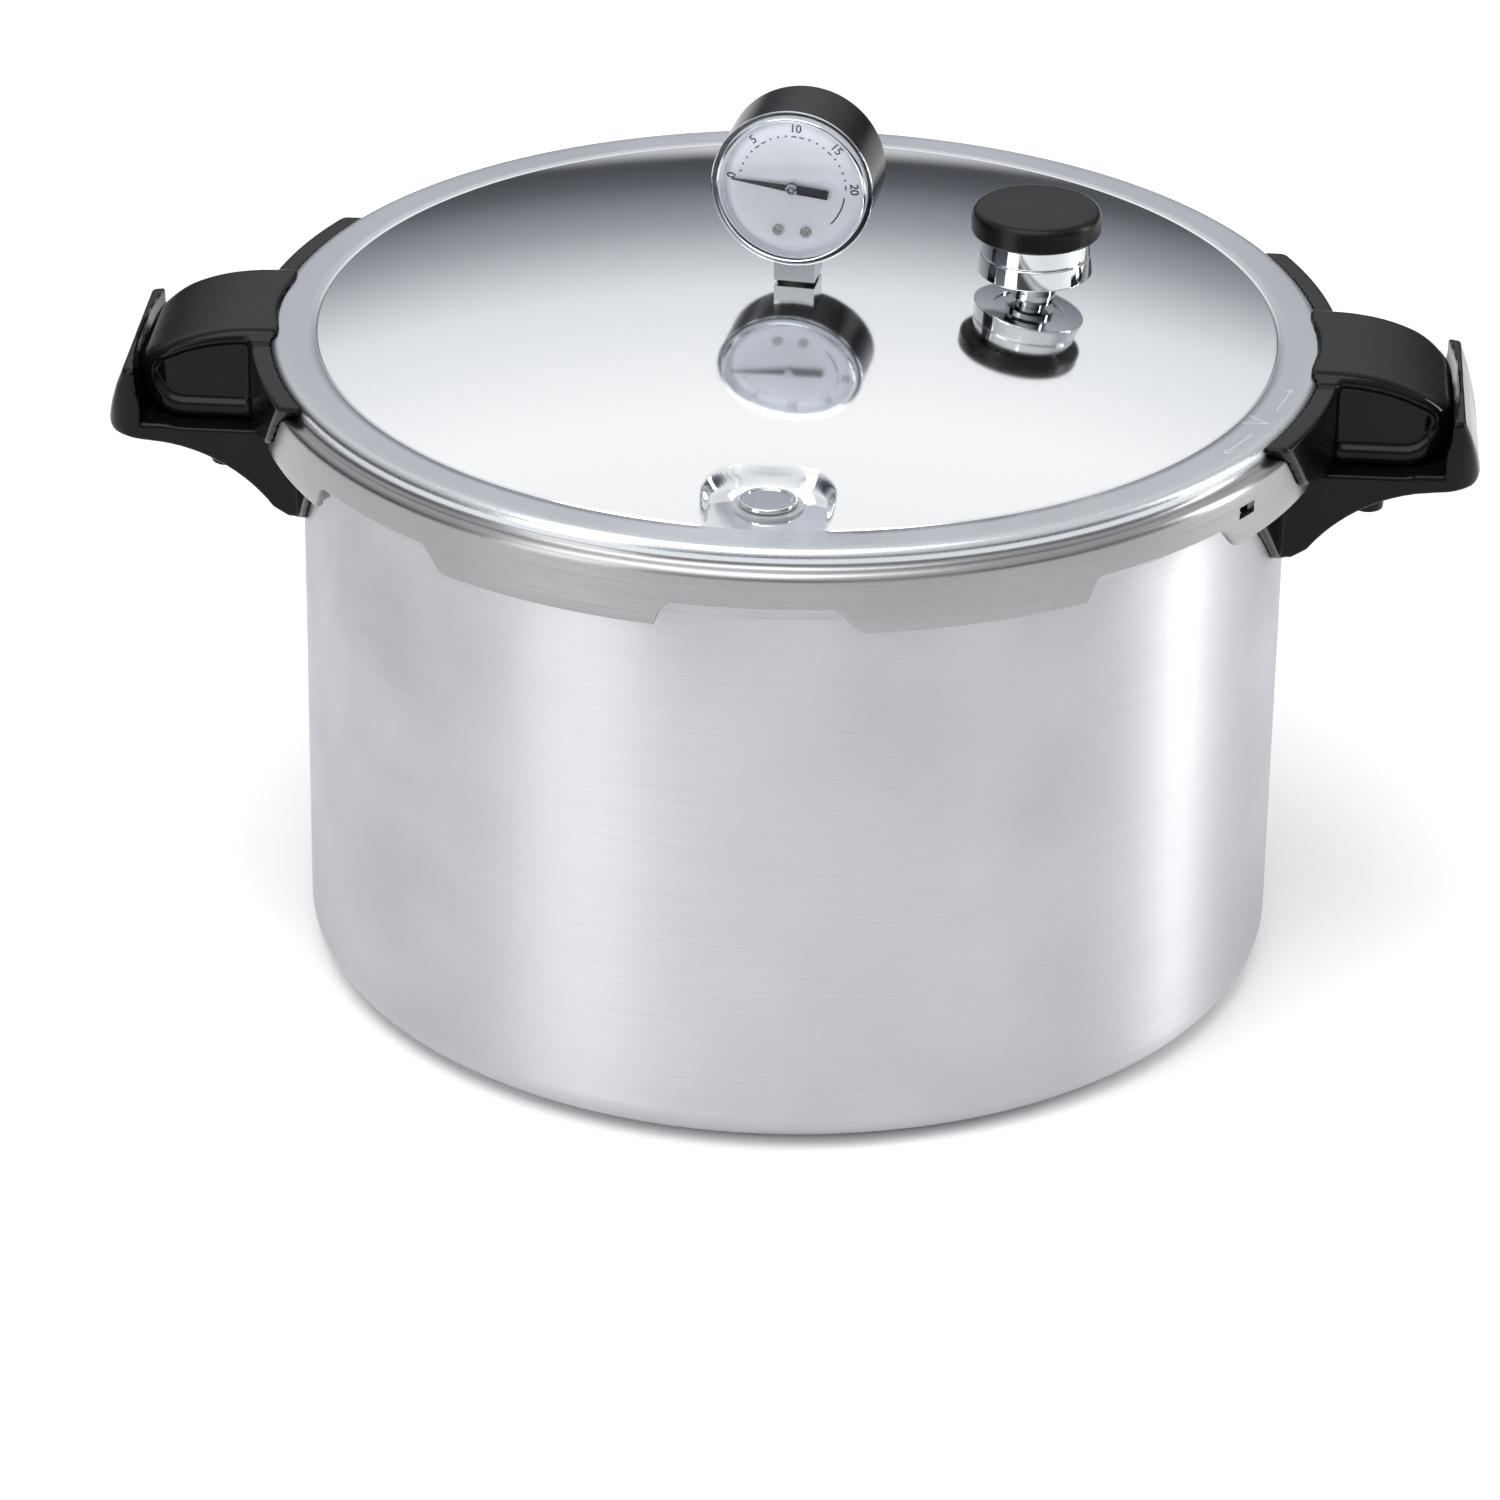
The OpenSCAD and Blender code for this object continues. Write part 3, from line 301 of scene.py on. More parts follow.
pot_wall_aluminium = brushed_metal("brushed_aluminium_pot_wall", ("#b9babd", "#c3c4c7"),
                                   0.42, 0.8, 0.035, 0.85)
LUG_COUNT = 8
LUG_STEP, RIM_STEP = 5.5, 5.5
LUG_FOOT = 10.4
LUG_THICK = 3.5
LUG_GAP = 0.9
POT_LUG_HALF = 9.0
WALL, SHEET = 2.2, 2.4
lid_low, lid_high = in_mm("lid")
lug_r = lid_high[0] - SHEET - LUG_GAP
rim_r = lug_r - LUG_STEP
pot_r = rim_r - RIM_STEP
pot_in_r = pot_r - WALL
pot_h = in_mm("pot_body")[1][2]
lug_z = pot_h - LUG_FOOT
POT_CORNER = 11
FOOT_STEP = 1.2
BASE = 3.5

pitch = 360 / LUG_COUNT
pot_angles = np.radians(np.arange(0, 360, 0.5))


def lug_share(angles, half, ramp_deg):
    """1 on a lug, 0 between lugs, with a smooth change ramp_deg wide outside each end."""
    away = np.abs(np.degrees(angles) % pitch - pitch / 2)
    t = np.clip((half + ramp_deg - away) / ramp_deg, 0, 1)
    return t * t * (3 - 2 * t)


on_pot_lug = lug_share(pot_angles, POT_LUG_HALF, 0.45)
foot_r = pot_r - POT_CORNER + 1.5
outer = np.concatenate([
    [[0, 0], [foot_r - 0.3, 0], [foot_r, 0.3], [foot_r, FOOT_STEP]],
    arc(pot_r - POT_CORNER, FOOT_STEP + POT_CORNER, POT_CORNER, -78, 0, 16),
    [[pot_r, z] for z in np.linspace(FOOT_STEP + POT_CORNER + 2, lug_z - RIM_STEP, 12)],
    [[rim_r, lug_z]],
])
radii, heights = list(outer[:, 0]), list(outer[:, 1])
for reach, z in ((1, lug_z + 0.1), (1, lug_z + LUG_THICK - 0.1), (0, lug_z + LUG_THICK)):
    radii.append(rim_r + reach * LUG_STEP * on_pot_lug)
    heights.append(z)
inner_corner = POT_CORNER - WALL
inside = np.concatenate([
    softened([
        (rim_r, pot_h - 4, 0), (rim_r, pot_h, 0.6), (pot_in_r, pot_h, 0.6), (pot_in_r, pot_h - 4, 0),
    ], 4),
    [[pot_in_r, z] for z in np.linspace(pot_h - 20, BASE + inner_corner + 2, 8)],
    arc(pot_in_r - inner_corner, BASE + inner_corner, inner_corner, 0, -90, 10),
    [[pot_in_r - inner_corner - 2, BASE], [0, BASE]],
])
radii += list(inside[:, 0])
heights += list(inside[:, 1])
points, faces = turned_grid(pot_angles, radii, heights)
points, faces, _ = welded(points, faces)
pot_shell = solid("pot_shell", points, faces, [pot_wall_aluminium], sharp=35)
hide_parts("pot_body")
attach(pot_shell, "pot")


def finish_cad(material, *nodes):
    """Gives CAD nodes that keep their own shape a material."""
    for name in nodes:
        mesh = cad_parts[name].data
        for i in range(max(1, len(mesh.materials))):
            if i < len(mesh.materials):
                mesh.materials[i] = material
            else:
                mesh.materials.append(material)


# ---------- jar rack ----------
# A pressed aluminium disc with steam holes and a turned edge, lying on the pot's base.
rack_aluminium = brushed_metal("rolled_aluminium_rack", ("#b9bbbe", "#cfd1d3"), 0.38, 0.8, 0.08, 0,
                               direction="flat")
finish_cad(rack_aluminium, "canning_rack")


# ---------- lock bracket ----------
# A stainless strip riveted inside the rim, where the cover lock's pin passes it.
stainless = brushed_metal("brushed_stainless_steel", ("#a9a7a4", "#c3c1be"), 0.28, 0.6, 0.08, 0,
                          direction="flat")
rivet_aluminium = brushed_metal("headed_aluminium_rivet", ("#bfc1c4", "#d6d8da"), 0.3, 0.5, 0.05, 0,
                                direction="none")
finish_cad(stainless, "lock_bracket")
finish_cad(rivet_aluminium, "lock_bracket_rivets")


# ---------- lid ----------
# Pressed from thicker aluminium sheet: a polished dome in a flat ring, a rounded edge, and
# a satin skirt with eight bayonet lugs.  A flat pad for the cover lock is pressed at the front.
lid_polish = brushed_metal("mirror_polished_aluminium", ("#e8eaec", "#eeeff1"), 0.075, 0.5, 0.006, 0, 0.02,
                           direction="none")
lid_ring = brushed_metal("satin_aluminium_lid_ring", ("#c0c4c9", "#cacdd2"), 0.27, 0.8, 0.03, 0.6)
lid_edge = brushed_metal("burnished_aluminium_edge", ("#bdc0c4", "#c6c9cc"), 0.28, 0.8, 0.02, 0, 0.05,
                         direction="none")
# The skirt's base colour is darker than the rest of the lid's aluminium: painted shade, standing in for the
# darker reflections on the skirt's sides.
lid_skirt_painted_shade = brushed_metal("brushed_aluminium_lid_skirt", ("#8f8e90", "#9a999b"), 0.3, 0.8, 0.03, 0.7)

DOME_RISE = 16.5
EDGE_R = 3
SKIRT_STEP = 4.5
RING_W = 11.5
LUG_DROP = 7.8
LIP_GAP = 1.6
skirt_r = lid_high[0]
skirt_in_r = skirt_r - SHEET
neck_r = skirt_r - SKIRT_STEP
ring_out_r = neck_r - EDGE_R
dome_r = ring_out_r - RING_W
ring_z = lid_high[2] - DOME_RISE
skirt_z = lid_low[2]
gap_z = skirt_z + LUG_DROP
neck_z = ring_z - EDGE_R - 1
FLARE_R, SHOULDER_R = SKIRT_STEP * 0.4, SKIRT_STEP * 0.6
shoulder_z = neck_z - FLARE_R - SHOULDER_R
lip_r = rim_r + LIP_GAP
sphere_r = (dome_r ** 2 + DOME_RISE ** 2) / (2 * DOME_RISE)
sphere_z = lid_high[2] - sphere_r
LID_LUG_HALF = 11.9
LUG_CURVE_DEG, LUG_STEEP_DEG = 3.4, 2.0
SLOT_AT, SLOT_HALF, SLOT_RISE = -33.2, 1.35, 4.9
PAD_W, PAD_IN_R, PAD_CORNER, PAD_SLOPE = 35, 124, 10, 3.4

steps = []
for k in range(LUG_COUNT):
    for start, end, size in ((0, 9.4, 0.94), (9.4, 11.4, 0.25), (11.4, 15.6, 0.15), (15.6, 22.5, 0.7)):
        for sign in (1, -1):
            steps += list(pitch * (k + 0.5) + sign * np.arange(start, end, size))
steps += list(SLOT_AT + np.linspace(-SLOT_HALF, SLOT_HALF, 8))
steps += list(np.arange(-100, -80, 0.3))
lid_degrees = np.unique(np.round(np.array(steps) % 360, 2))
lid_degrees = lid_degrees[np.concatenate([[True], np.diff(lid_degrees) > 0.035])]
lid_angles = np.radians(lid_degrees)


def pad_distance(x, y):
    """Distance outside the outline of the cover lock's pad, negative on it."""
    across = np.abs(x) - (PAD_W / 2 - PAD_CORNER)
    inward = y + PAD_IN_R + PAD_CORNER
    corner = np.hypot(np.maximum(across, 0), np.maximum(inward, 0))
    return np.minimum(np.maximum(across, inward), 0) + corner - PAD_CORNER


def dome_height(r, x, y):
    """The dome, pressed down to the ring's level on the pad with a blended wall."""
    dome = sphere_z + np.sqrt(sphere_r ** 2 - r ** 2)
    t = np.clip(pad_distance(x, y) / PAD_SLOPE, 0, 1)
    return ring_z + (dome - ring_z) * t * t * (3 - 2 * t)


# One end of each lug runs out in a long S and the other rises steeply
past = lid_degrees % pitch - pitch / 2
away = np.abs(past)
slow = np.clip((-past - LID_LUG_HALF) / LUG_CURVE_DEG, 0, 1)
steep = np.clip((past - LID_LUG_HALF) / LUG_STEEP_DEG, 0, 1)
lid_foot = skirt_z + (gap_z - skirt_z) * np.maximum(slow * slow * (3 - 2 * slow), 1 - (1 - steep) ** 2.5)
lip_share = np.clip((LID_LUG_HALF - 0.8 - away) / 0.7, 0, 1)
lip_in = skirt_in_r - (skirt_in_r - lip_r) * lip_share
cosines, sines = np.cos(lid_angles), np.sin(lid_angles)

rows = []


def row(r, z, finish=3):
    """Adds one step of the lid's profile; finish is the material of the band that follows it."""
    rows.append((np.broadcast_to(np.asarray(r, float), lid_angles.shape),
                 np.broadcast_to(np.asarray(z, float), lid_angles.shape), finish))


for r in np.concatenate([[0, 3, 7], np.arange(12, 112, 5), np.arange(113, dome_r - 0.8, 1)]):
    row(r, dome_height(r, r * cosines, r * sines), 0)
groove = np.clip(pad_distance(dome_r * cosines, dome_r * sines) / 3, 0, 1) * 0.35
row(dome_r - 0.5, dome_height(dome_r - 0.5, (dome_r - 0.5) * cosines, (dome_r - 0.5) * sines), 0)
row(dome_r, ring_z - groove, 0)
for r in np.linspace(dome_r + 0.5, ring_out_r, 5):
    row(r, ring_z, 1)
for r, z in arc(ring_out_r, ring_z - EDGE_R, EDGE_R, 90, 0, 12)[1:]:
    row(r, z, 2)
for r, z in arc(neck_r + FLARE_R, neck_z, FLARE_R, 180, 270, 6):
    row(r, z)
for r, z in arc(neck_r + FLARE_R, shoulder_z, SHOULDER_R, 90, 25, 5)[1:]:
    row(r, z)
row(skirt_r - 0.06, shoulder_z + SHOULDER_R * math.sin(math.radians(12)))
row(skirt_r, shoulder_z)
row(skirt_r, gap_z + SLOT_RISE)
slot_top = len(rows) - 1
row(skirt_r, gap_z + 0.9)
slot_foot = len(rows) - 1
for share in (0.5, 0.0):
    row(skirt_r, lid_foot + 0.6 + (gap_z + 0.9 - lid_foot - 0.6) * share)
row(skirt_r - 0.18, lid_foot + 0.18)
row(skirt_r - 0.6, lid_foot)
row(np.minimum(lip_in + 0.5, skirt_r - 0.9), lid_foot)
row(lip_in, lid_foot + 0.5)
row(lip_in, lid_foot + SHEET)
row(skirt_in_r, lid_foot + SHEET + 0.02)
row(skirt_in_r, np.maximum(gap_z + 0.9, lid_foot + SHEET + 0.1))
slot_foot_in = len(rows) - 1
row(skirt_in_r, gap_z + SLOT_RISE)
slot_top_in = len(rows) - 1
for r, z in arc(neck_r + FLARE_R, shoulder_z, SHOULDER_R - SHEET, 0, 90, 3):
    row(r, z)
for r, z in arc(neck_r + FLARE_R, neck_z, FLARE_R + SHEET, 270, 180, 4)[1:]:
    row(r, z)
for r, z in arc(ring_out_r, ring_z - EDGE_R, EDGE_R - SHEET, 0, 90, 5):
    row(r, z)
for r in np.concatenate([[dome_r + 0.5], np.arange(dome_r - 1, 115, -4), np.arange(108, 10, -12), [0]]):
    row(r, (ring_z if r > dome_r else dome_height(r, r * cosines, r * sines)) - SHEET)

points, faces = turned_grid(lid_angles, [r for r, _, _ in rows], [z for _, z, _ in rows])
finishes = np.repeat([finish for _, _, finish in rows[:-1]], len(lid_angles))
column = np.arange(len(faces)) % len(lid_angles)
band = np.arange(len(faces)) // len(lid_angles)
in_slot = np.abs((lid_degrees - SLOT_AT + 180) % 360 - 180) < SLOT_HALF + 0.01
open_columns = np.flatnonzero(in_slot & np.roll(in_slot, -1))
opening = np.isin(column, open_columns) & (
    ((band >= slot_top) & (band < slot_foot)) | ((band >= slot_foot_in) & (band < slot_top_in)))
faces, finishes = faces[~opening], finishes[~opening]
# The walls of the slot join the outer sheet to the inner one
n = len(lid_angles)
walls = []
for j in open_columns:
    a, b = j, (j + 1) % n
    walls.append([slot_top * n + a, slot_top * n + b, slot_top_in * n + b, slot_top_in * n + a])
    walls.append([slot_foot * n + b, slot_foot * n + a, slot_foot_in * n + a, slot_foot_in * n + b])
for j, flip in ((open_columns[0], False), ((open_columns[-1] + 1) % n, True)):
    outer_edge = [i * n + j for i in range(slot_top, slot_foot + 1)]
    inner_edge = [i * n + j for i in range(slot_foot_in, slot_top_in + 1)]
    end = outer_edge + inner_edge
    walls.append(end if flip else end[::-1])
points, faces, finishes = welded(points, [list(f) for f in faces] + walls, list(finishes) + [3] * len(walls))
lid_shell = solid("lid_shell", points, faces, [lid_polish, lid_ring, lid_edge, lid_skirt_painted_shade], finishes, sharp=35)
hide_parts("lid")
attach(lid_shell, "lid")


# ---------- lid marks ----------
# A V and two arrows stamped in the flat ring, which show where the lid drops on and which
# way it turns.  The stamped lines are real, but their near-white colour is a painted highlight
# for the stamped relief catching the light.
stamp_line_painted_highlight = brushed_metal("stamped_line_painted_highlight", ("#eceef0", "#f4f5f6"), 0.35, 0.5, 0.02, 0,
                           direction="none")


def stroke(path, width, z):
    """A strip along a path of (x, y) points at height z, with a slightly crowned middle."""
    path = np.asarray(path, float)
    ahead = np.gradient(path, axis=0)
    ahead /= np.linalg.norm(ahead, axis=1)[:, None]
    across = np.stack([-ahead[:, 1], ahead[:, 0]], 1)
    strip = []
    for share, rise in ((-0.5, -0.02), (-0.2, 0.03), (0.2, 0.03), (0.5, -0.02)):
        strip.append(np.column_stack([path + across * width * share, np.full(len(path), z + rise)]))
    return np.array(strip)


def ring_point(r, az):
    """A point on the flat ring, from its radius and direction."""
    return (r * math.cos(math.radians(az)), r * math.sin(math.radians(az)))


marks = [
    [ring_point(154.4, -21.4), ring_point(158, -22.05), ring_point(162.2, -22.5)],
    [ring_point(162.2, -22.5), ring_point(158, -23.0), ring_point(154.4, -23.7)],
]
for middle, way in ((-29.0, -1), (-15.8, 1)):
    marks.append([ring_point(160.6, middle + way * d) for d in np.linspace(-3.0, 3.0, 9)])
    for r in (159.3, 161.9):
        marks.append([ring_point(160.6, middle + way * 3.0), ring_point(r, middle + way * 2.2)])
points, faces = [], []
for path in marks:
    strip = stroke(path, 0.45, ring_z)
    base, length = len(points), strip.shape[1]
    points += strip.reshape(-1, 3).tolist()
    for i in range(3):
        for j in range(length - 1):
            a = base + i * length + j
            faces.append([a, a + 1, a + length + 1, a + length])
lid_marks = solid("lid_marks", points, faces, [stamp_line_painted_highlight])
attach(lid_marks, "lid")


# ---------- sealing ring and other rubber ----------
# Black rubber, moulded and slightly dusty: dull, dark grey rather than black.
def moulded_material(name, colour, roughness, grain_mm, depth, ior=1.5, specular=0.5, uneven=0.05):
    """Moulded plastic or rubber with a fine mould grain and slow changes of gloss."""
    material = new_material(name)
    tree = material.node_tree
    place = add(tree, "ShaderNodeTexCoord").outputs["Object"]
    grain = add(tree, "ShaderNodeTexNoise", {"Vector": place, "Scale": 1000 / grain_mm, "Detail": 3.0})
    cloud = add(tree, "ShaderNodeTexNoise", {"Vector": place, "Scale": 60.0, "Detail": 4.0})
    rough = add(tree, "ShaderNodeMapRange", {
        "Value": cloud.outputs["Fac"], "From Min": 0.3, "From Max": 0.7,
        "To Min": roughness - uneven, "To Max": roughness + uneven,
    })
    tint = ramp(tree, cloud.outputs["Fac"], [(0.3, colour[0]), (0.7, colour[1])])
    bump = add(tree, "ShaderNodeBump",
               {"Height": grain.outputs["Fac"], "Strength": depth, "Distance": 0.0002})
    shader = add(tree, "ShaderNodeBsdfPrincipled", {
        "Base Color": tint, "Roughness": rough.outputs["Result"], "IOR": ior,
        "Specular IOR Level": specular, "Normal": bump.outputs["Normal"],
    })
    add(tree, "ShaderNodeOutputMaterial", {"Surface": shader.outputs["BSDF"]})
    return material


seal_rubber = moulded_material("black_seal_rubber", ("#161616", "#202020"), 0.55, 0.4, 0.2)
# The cover lock's gasket is coloured light grey, which gives the bright ring round the foot of the cap.
lock_gasket_light_grey = moulded_material("light_grey_lock_gasket", ("#8b8d8f", "#989a9c"), 0.38, 0.4, 0.1)
finish_cad(seal_rubber, "sealing_ring", "gauge_gasket")
finish_cad(lock_gasket_light_grey, "cover_lock_gasket")


# ---------- handles ----------
# Moulded from black phenolic in a polished tool, so they shine softly.  The lid handle is a
# hood with a sunk panel on each side; the body handle's lip stands up outside it.
phenolic = moulded_material("black_phenolic_handle", ("#090808", "#0d0c0c"), 0.16, 0.5, 0.02, 1.5, 0.14, 0.04)


def soft_most(a, b, reach):
    """The larger of two distances, with the edge where they meet rounded over reach."""
    h = np.clip(1 - np.abs(a - b) / reach, 0, 1)
    return np.maximum(a, b) + h * h * reach / 4


def soft_least(a, b, reach):
    """The smaller of two distances, with the corner between them filled over reach."""
    return -soft_most(-a, -b, reach)


def round_corner(u, v, radius):
    """Distance outside the corner u > 0, v > 0, rounded to radius."""
    u, v = u + radius, v + radius
    return np.minimum(np.maximum(u, v), 0) + np.hypot(np.maximum(u, 0), np.maximum(v, 0)) - radius


def outline_distance(u, v, corners):
    """Distance to a closed outline, negative inside it."""
    best = np.full(u.shape, 1e12)
    sign = np.ones(u.shape)
    for (ax, ay), (bx, by) in zip(corners, np.roll(corners, 1, axis=0)):
        ex, ey, wx, wy = bx - ax, by - ay, u - ax, v - ay
        if math.hypot(ex, ey) < 1e-6:
            continue
        share = np.clip((wx * ex + wy * ey) / (ex * ex + ey * ey), 0, 1)
        best = np.minimum(best, (wx - ex * share) ** 2 + (wy - ey * share) ** 2)
        over, under, left = v >= ay, v < by, ex * wy > ey * wx
        sign = np.where((over & under & left) | (~over & ~under & ~left), -sign, sign)
    return sign * np.sqrt(best)


def moulding(low, high, step, distance):
    """Points and faces of the surface where distance(x, y, z) is zero, found on a grid."""
    counts = [int(math.ceil((b - a) / step)) + 1 for a, b in zip(low, high)]
    lines = [a + step * np.arange(n) for a, n in zip(low, counts)]
    field = distance(*np.meshgrid(*lines, indexing="ij"))
    inside = field < 0
    corners = np.zeros([n - 1 for n in counts], int)
    for dx in (0, 1):
        for dy in (0, 1):
            for dz in (0, 1):
                corners += inside[dx:counts[0] - 1 + dx, dy:counts[1] - 1 + dy, dz:counts[2] - 1 + dz]
    mixed = (corners > 0) & (corners < 8)
    number = np.full(mixed.shape, -1)
    number[mixed] = np.arange(mixed.sum())
    cells = np.argwhere(mixed)
    total, hits = np.zeros((len(cells), 3)), np.zeros(len(cells))
    for axis in range(3):
        others = [a for a in range(3) if a != axis]
        for du in (0, 1):
            for dv in (0, 1):
                start = cells.copy()
                start[:, others[0]] += du
                start[:, others[1]] += dv
                end = start.copy()
                end[:, axis] += 1
                first, last = field[tuple(start.T)], field[tuple(end.T)]
                cross = (first < 0) != (last < 0)
                spot = start.astype(float)
                spot[:, axis] += first / np.where(cross, first - last, 1)
                total[cross] += spot[cross]
                hits += cross
    points = np.array(low) + step * total / hits[:, None]
    faces = []
    for axis in range(3):
        u, v = [a for a in range(3) if a != axis]
        first = np.moveaxis(inside, axis, 0)[:-1]
        last = np.moveaxis(inside, axis, 0)[1:]
        cells_by = np.moveaxis(number, axis, 0)
        for a, b, c in np.argwhere(first != last):
            layer = cells_by[a]
            ring = [layer[b - 1, c - 1], layer[b, c - 1], layer[b, c], layer[b - 1, c]]
            faces.append(ring if first[a, b, c] == (axis != 1) else ring[::-1])
    for _ in range(3):
        value = distance(*points.T)
        slope = np.stack([distance(*(points + d).T) - distance(*(points - d).T)
                          for d in np.eye(3) * 0.05], 1) / 0.1
        steep = np.maximum((slope ** 2).sum(1), 0.25)
        points = points - np.clip(value / steep, -step / 2, step / 2)[:, None] * slope
    return points, faces


grip_low, grip_high = in_mm("lid_handle_right")
TIP_ROUND = 15
LID_GRIP_HALF = 27
tip_r = grip_high[0]
part_z = grip_low[2]
hood_z = grip_high[2]
inner_x = ring_out_r - 1.5
HOOD_DROP = 14
HOOD_CORNER = 14
HOLLOW_R = 62.5
PANEL_DEPTH = 2.0
LID_WING, BODY_WING = 1.85, 2.3

lid_outline = np.concatenate([
    [[100, skirt_z - 40], [skirt_r, skirt_z - 40]],
    arc(neck_r + FLARE_R, shoulder_z, SHOULDER_R, 0, 90, 8),
    arc(neck_r + FLARE_R, neck_z, FLARE_R, 270, 180, 6),
    arc(ring_out_r, ring_z - EDGE_R, EDGE_R, 0, 90, 10),
    [[100, ring_z]],
])


def hood_top(x):
    """The height of the hood's crown, which falls towards its tip."""
    t = np.clip((x - inner_x) / (tip_r - inner_x), 0, 1.1)
    return hood_z - 0.2 - HOOD_DROP * t ** 2.8


def parting_distance(r, z, grow):
    """Distance outside the parting surface that the lid handle's underside follows."""
    return round_corner(r - tip_r - grow, part_z - grow - z, TIP_ROUND + grow)


def lid_grip(x, y, z):
    """The lid handle: a rounded hood with its side panels, and the wing that hugs the skirt."""
    r = np.hypot(x, y)
    top = (z - hood_top(x)) * 0.85
    plan = round_corner(x - tip_r, np.abs(y) - LID_GRIP_HALF, HOOD_CORNER)
    body = soft_most(top, plan, 4.5)
    body = soft_most(body, parting_distance(r, z, 0), 1.6)
    body = soft_most(body, HOLLOW_R - np.hypot(x - inner_x - 2.5 + HOLLOW_R, y), 2.0)
    body = soft_most(body, inner_x - x, 1.6)
    panel = soft_most(skirt_r - 2.6 - x, (z - hood_top(x) + 4.0) * 0.9, 2.5)
    panel = soft_most(panel, parting_distance(r, z, -5.4), 3)
    sunk = soft_most(panel, -(plan + PANEL_DEPTH), 1.8)
    body = soft_most(body, -sunk, 1.6)
    side, up = np.abs(y) - 62.7, z - part_z - 7.7
    wing = soft_most((side - 0.79 * up) * 0.78, (side - 3.77 * up) * 0.256, 2.0)
    wing = soft_most(wing, r - skirt_r - LID_WING, 1.5)
    wing = soft_most(wing, soft_most(z - ring_z + 1.5, part_z + 1.15 - z, 1), 1.5)
    return soft_most(soft_least(body, wing, 2.2), -outline_distance(r, z, lid_outline) + 0.12, 0.5)


def both_sides(name, points, faces, material, body):
    """The right-hand piece and its twin, turned half way round the pot."""
    for side, turn in (("right", 1), ("left", -1)):
        made = solid(f"{name}_{side}_grip", np.asarray(points) * (turn, turn, 1), faces, [material], sharp=50)
        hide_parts(f"{name}_{side}")
        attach(made, body)


GRID = 0.85
points, faces = moulding((skirt_r - 27, -81, part_z - 2), (tip_r + 2, 81.2, hood_z + 2), GRID, lid_grip)
both_sides("lid_handle", points, faces, phenolic, "lid")

stand_low, stand_high = in_mm("body_handle_right")
out_r, lip_z, leg_z = stand_high[0], stand_high[2], stand_low[2]
BODY_GRIP_HALF = 34
SWEEP_R = 52
grip_z = part_z - 6
SCREW_X, BOSS_R, HEAD_HOLE_R = skirt_r + 12, 5.2, 4.0
boss_z = part_z - 27
body_outline = np.concatenate([
    [[pot_r - 8, part_z], [pot_r - 8, leg_z], [pot_r + 2, leg_z]],
    arc(pot_r + 49, grip_z - SWEEP_R, SWEEP_R, 144, 98, 16),
    arc(out_r - 3.5, grip_z + 4.5, 3.5, -85, 0, 8),
    [[out_r - 1.6, lip_z - 13.5], [out_r - 3.8, lip_z - 6.5], [out_r - 6.4, lip_z], [out_r - 12, lip_z]],
    [[out_r - 12, part_z]],
])


def body_grip(x, y, z):
    """The body handle: the swept grip with its upright lip, the wing on the wall and the screw boss."""
    r = np.hypot(x, y)
    plan = round_corner(x - out_r, np.abs(y) - BODY_GRIP_HALF, 12)
    body = soft_most(outline_distance(x, z, body_outline), plan, 1.6)
    half = np.radians(13 + (z - leg_z) * 0.386)
    wing = soft_most(r - pot_r - BODY_WING, (np.abs(y) - pot_r * np.sin(half)) * 0.85, 1.5)
    wing = soft_most(wing, soft_most(leg_z + 0.6 - z, z - part_z + 1.5, 1), 1.5)
    boss = soft_most(np.hypot(x - SCREW_X, y) - BOSS_R, soft_most(boss_z - z, z - part_z + 4, 1), 1.0)
    body = soft_least(soft_least(body, wing, 2.0), boss, 1.5)
    body = soft_most(body, pot_r + 0.08 - r, 0.5)
    body = soft_most(body, -parting_distance(r, z, 0.85), 0.9)
    return soft_most(body, HEAD_HOLE_R - np.maximum(np.hypot(x - SCREW_X, y), z - boss_z + 0.6), 0.4)


points, faces = moulding((pot_r - 20, -69, leg_z - 2), (out_r + 2, 69.2, lip_z + 2), GRID, body_grip)
both_sides("body_handle", points, faces, phenolic, "pot")


# ---------- handle brackets and screws ----------
# Bent aluminium straps joined to the wall, and zinc plated steel screws from below.
strap_aluminium = brushed_metal("bent_aluminium_strap", ("#bcbec1", "#d0d2d4"), 0.32, 0.7, 0.06, 0,
                                direction="flat")
zinc_steel = brushed_metal("zinc_plated_steel", ("#a8aaab", "#c6c7c6"), 0.3, 0.4, 0.05, 0, direction="none")
for where in ("body", "lid"):
    finish_cad(strap_aluminium, f"{where}_bracket_left", f"{where}_bracket_right")
finish_cad(zinc_steel, "body_handle_screws", "lid_handle_screws", "vent_pipe_nut", "gauge_nut")


# ---------- vent pipe and regulator ----------
# A chromed brass pipe with a weight of two chromed rings on it, lifted by a black knob.
chrome = brushed_metal("chromed_brass", ("#c6c8ca", "#d0d2d3"), 0.05, 0.6, 0.004, 0, 0.02, direction="none")
finish_cad(chrome, "vent_pipe", "regulator_core")
knob_phenolic = moulded_material("black_phenolic_knob", ("#0a0a0a", "#101010"), 0.26, 0.35, 0.05, 1.5, 0.15)


def turned_for(node, name, profile, material, body, segments=96, closed=False):
    """A finely turned piece that stands for a CAD node and shares its axis."""
    low, high = in_mm(node)
    middle = (low + high) / 2
    made = turned(name, profile(low[2], high[2], (high[0] - low[0]) / 2), material, segments, closed,
                  Matrix.Translation((middle[0], middle[1], 0)))
    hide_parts(node)
    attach(made, body)
    return made


